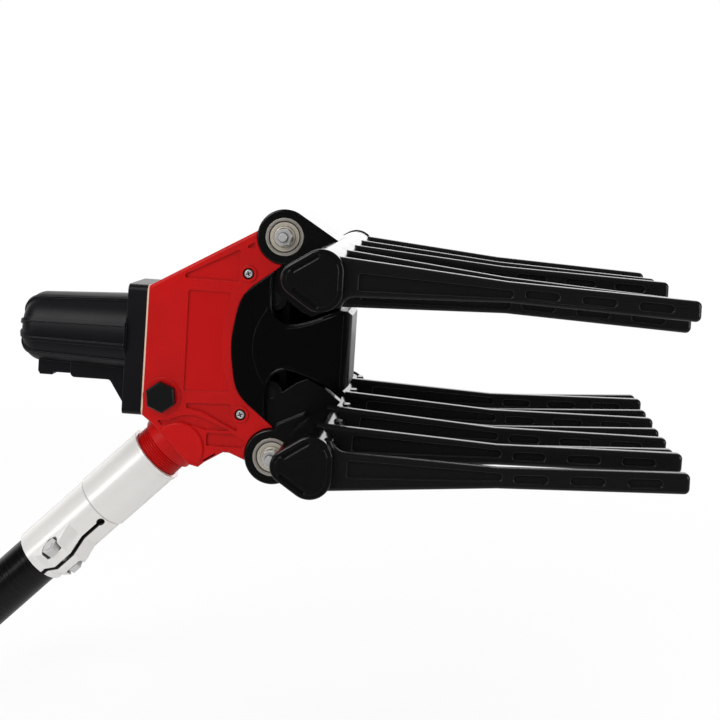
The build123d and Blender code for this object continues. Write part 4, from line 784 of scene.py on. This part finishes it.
class HARVESTER_OT_stage(bpy.types.Operator):
    """Pale floor, white surroundings, soft lamps and the camera"""

    bl_idname = "harvester.stage"
    bl_label = "Studio"

    def execute(self, context):
        look = context.scene.harvester_stage
        self.floor(context, look)
        self.surroundings(context, look)
        lamps = {name: self.lamp(context, name, getattr(look, name)) for name in LAMPS}
        lamps["top"].visible_glossy = False
        lamps["back"].visible_diffuse = False
        self.camera(context, look)
        return {"FINISHED"}

    def floor(self, context, look):
        """Square floor, white to the camera far from the part, that keeps the part's shadow."""
        half = 0.5 * look.floor_size
        level = CAD_LOW[2] - look.floor_drop
        mesh = bpy.data.meshes.new("studio_floor")
        corners = [(-half, -half, level), (half, -half, level), (half, half, level), (-half, half, level)]
        mesh.from_pydata(corners, [], [(0, 1, 2, 3)])
        floor = bpy.data.objects.new("studio_floor", mesh)
        context.scene.collection.objects.link(floor)
        finish = new_finish("floor_paper")
        white = finish.spread(finish.length(finish.place()), *FLOOR_FADE, FLOOR_NEAR_WHITE, 1.0)
        behind = finish.spread(finish.along(TO_FAR_SIDE), *FLOOR_TURN)
        paper = finish.node("ShaderNodeBsdfDiffuse", None, {"Color": PAPER})
        plain = finish.blend(white * finish.ray("Is Camera Ray"), paper, finish.glow(1.0))
        mirrored = finish.blend(behind, finish.glow(FLOOR_FRONT), finish.glow(FLOOR_BACK))
        every_way = finish.blend(finish.ray("Is Glossy Ray"), plain, mirrored)
        finish.node("ShaderNodeOutputMaterial", None, {"Surface": every_way})
        mesh.materials.append(finish.owner)

    def surroundings(self, context, look):
        """White to the camera, a bright wall behind for reflections, and even light elsewhere."""
        world = bpy.data.worlds.new("studio_white")
        context.scene.world = world
        finish = Finish(world)
        seen = finish.ray("Is Camera Ray")
        mirrored = finish.larger(finish.ray("Is Glossy Ray"), finish.ray("Is Transmission Ray"))
        back = finish.dot(finish.node("ShaderNodeTexCoord", out="Generated"), WALLS_BACK_LINE)
        walls = finish.spread(back, *WALLS_TURN, WALLS_FRONT, WALLS_BACK)
        strength = seen + (1 - seen) * (mirrored * walls + (1 - mirrored) * look.ambient)
        shader = finish.node("ShaderNodeBackground", None, {"Color": WHITE, "Strength": strength})
        finish.node("ShaderNodeOutputWorld", None, {"Surface": shader})

    def lamp(self, context, name, power):
        """Square lamp that points at the part and isn't seen itself."""
        spot, size = LAMPS[name]
        data = bpy.data.lights.new(f"{name}_lamp", "AREA")
        data.size = size
        data.energy = power
        lamp = bpy.data.objects.new(f"{name}_lamp", data)
        lamp.location = spot
        lamp.visible_camera = False
        lamp.rotation_euler = (AIM - Vector(spot)).to_track_quat("-Z", "Y").to_euler()
        context.scene.collection.objects.link(lamp)
        return lamp

    def camera(self, context, look):
        """Camera in front of the near side."""
        data = bpy.data.cameras.new("camera")
        data.lens = look.lens
        data.sensor_width = CAMERA_SENSOR
        data.shift_x, data.shift_y = CAMERA_SHIFT
        data.clip_start = CAMERA_NEAREST
        camera = bpy.data.objects.new("camera", data)
        axes = (CAMERA_RIGHT, -CAMERA_DOWN, CAMERA_RIGHT.cross(-CAMERA_DOWN))
        turn = Matrix(axes).transposed().to_4x4()
        camera.matrix_world = Matrix.Translation(CAMERA_SPOT) @ turn
        context.scene.collection.objects.link(camera)
        context.scene.camera = camera
        context.scene.view_settings.view_transform = "Standard"


LOOKS = {
    "harvester_housing": HousingLook,
    "harvester_comb": CombLook,
    "harvester_metal": MetalLook,
    "harvester_stage": StageLook,
}
PIECES = (
    HARVESTER_OT_housing,
    HARVESTER_OT_rear_cap,
    HARVESTER_OT_gloss,
    HARVESTER_OT_lips,
    HARVESTER_OT_tines,
    HARVESTER_OT_clamp,
    HARVESTER_OT_pole,
    HARVESTER_OT_fasteners,
    HARVESTER_OT_bearings,
    HARVESTER_OT_drive,
    HARVESTER_OT_stage,
)


class HARVESTER_PT_panel(bpy.types.Panel):
    """Lists the pieces and the studio, with their colours and sizes"""

    bl_idname = "HARVESTER_PT_panel"
    bl_label = "Olive harvester head"
    bl_space_type = "VIEW_3D"
    bl_region_type = "UI"
    bl_category = "Harvester"

    def draw(self, context):
        for piece in PIECES:
            self.layout.operator(piece.bl_idname)
        for name, kind in LOOKS.items():
            look = getattr(context.scene, name)
            for key in kind.__annotations__:
                self.layout.prop(look, key)


def register():
    """Adds the settings, operators and panel."""
    for name, kind in LOOKS.items():
        bpy.utils.register_class(kind)
        setattr(bpy.types.Scene, name, bpy.props.PointerProperty(type=kind))
    for piece in PIECES:
        bpy.utils.register_class(piece)
    bpy.utils.register_class(HARVESTER_PT_panel)


def unregister():
    """Takes the settings, operators and panel away."""
    bpy.utils.unregister_class(HARVESTER_PT_panel)
    for piece in reversed(PIECES):
        bpy.utils.unregister_class(piece)
    for name, kind in LOOKS.items():
        delattr(bpy.types.Scene, name)
        bpy.utils.unregister_class(kind)


def main():
    """Dresses the head."""
    register()
    bpy.ops.harvester.housing()
    bpy.ops.harvester.rear_cap()
    bpy.ops.harvester.gloss()
    bpy.ops.harvester.lips()
    bpy.ops.harvester.tines()
    bpy.ops.harvester.clamp()
    bpy.ops.harvester.pole()
    bpy.ops.harvester.fasteners()
    bpy.ops.harvester.bearings()
    bpy.ops.harvester.drive()
    bpy.ops.harvester.stage()


if __name__ == "__main__":
    main()
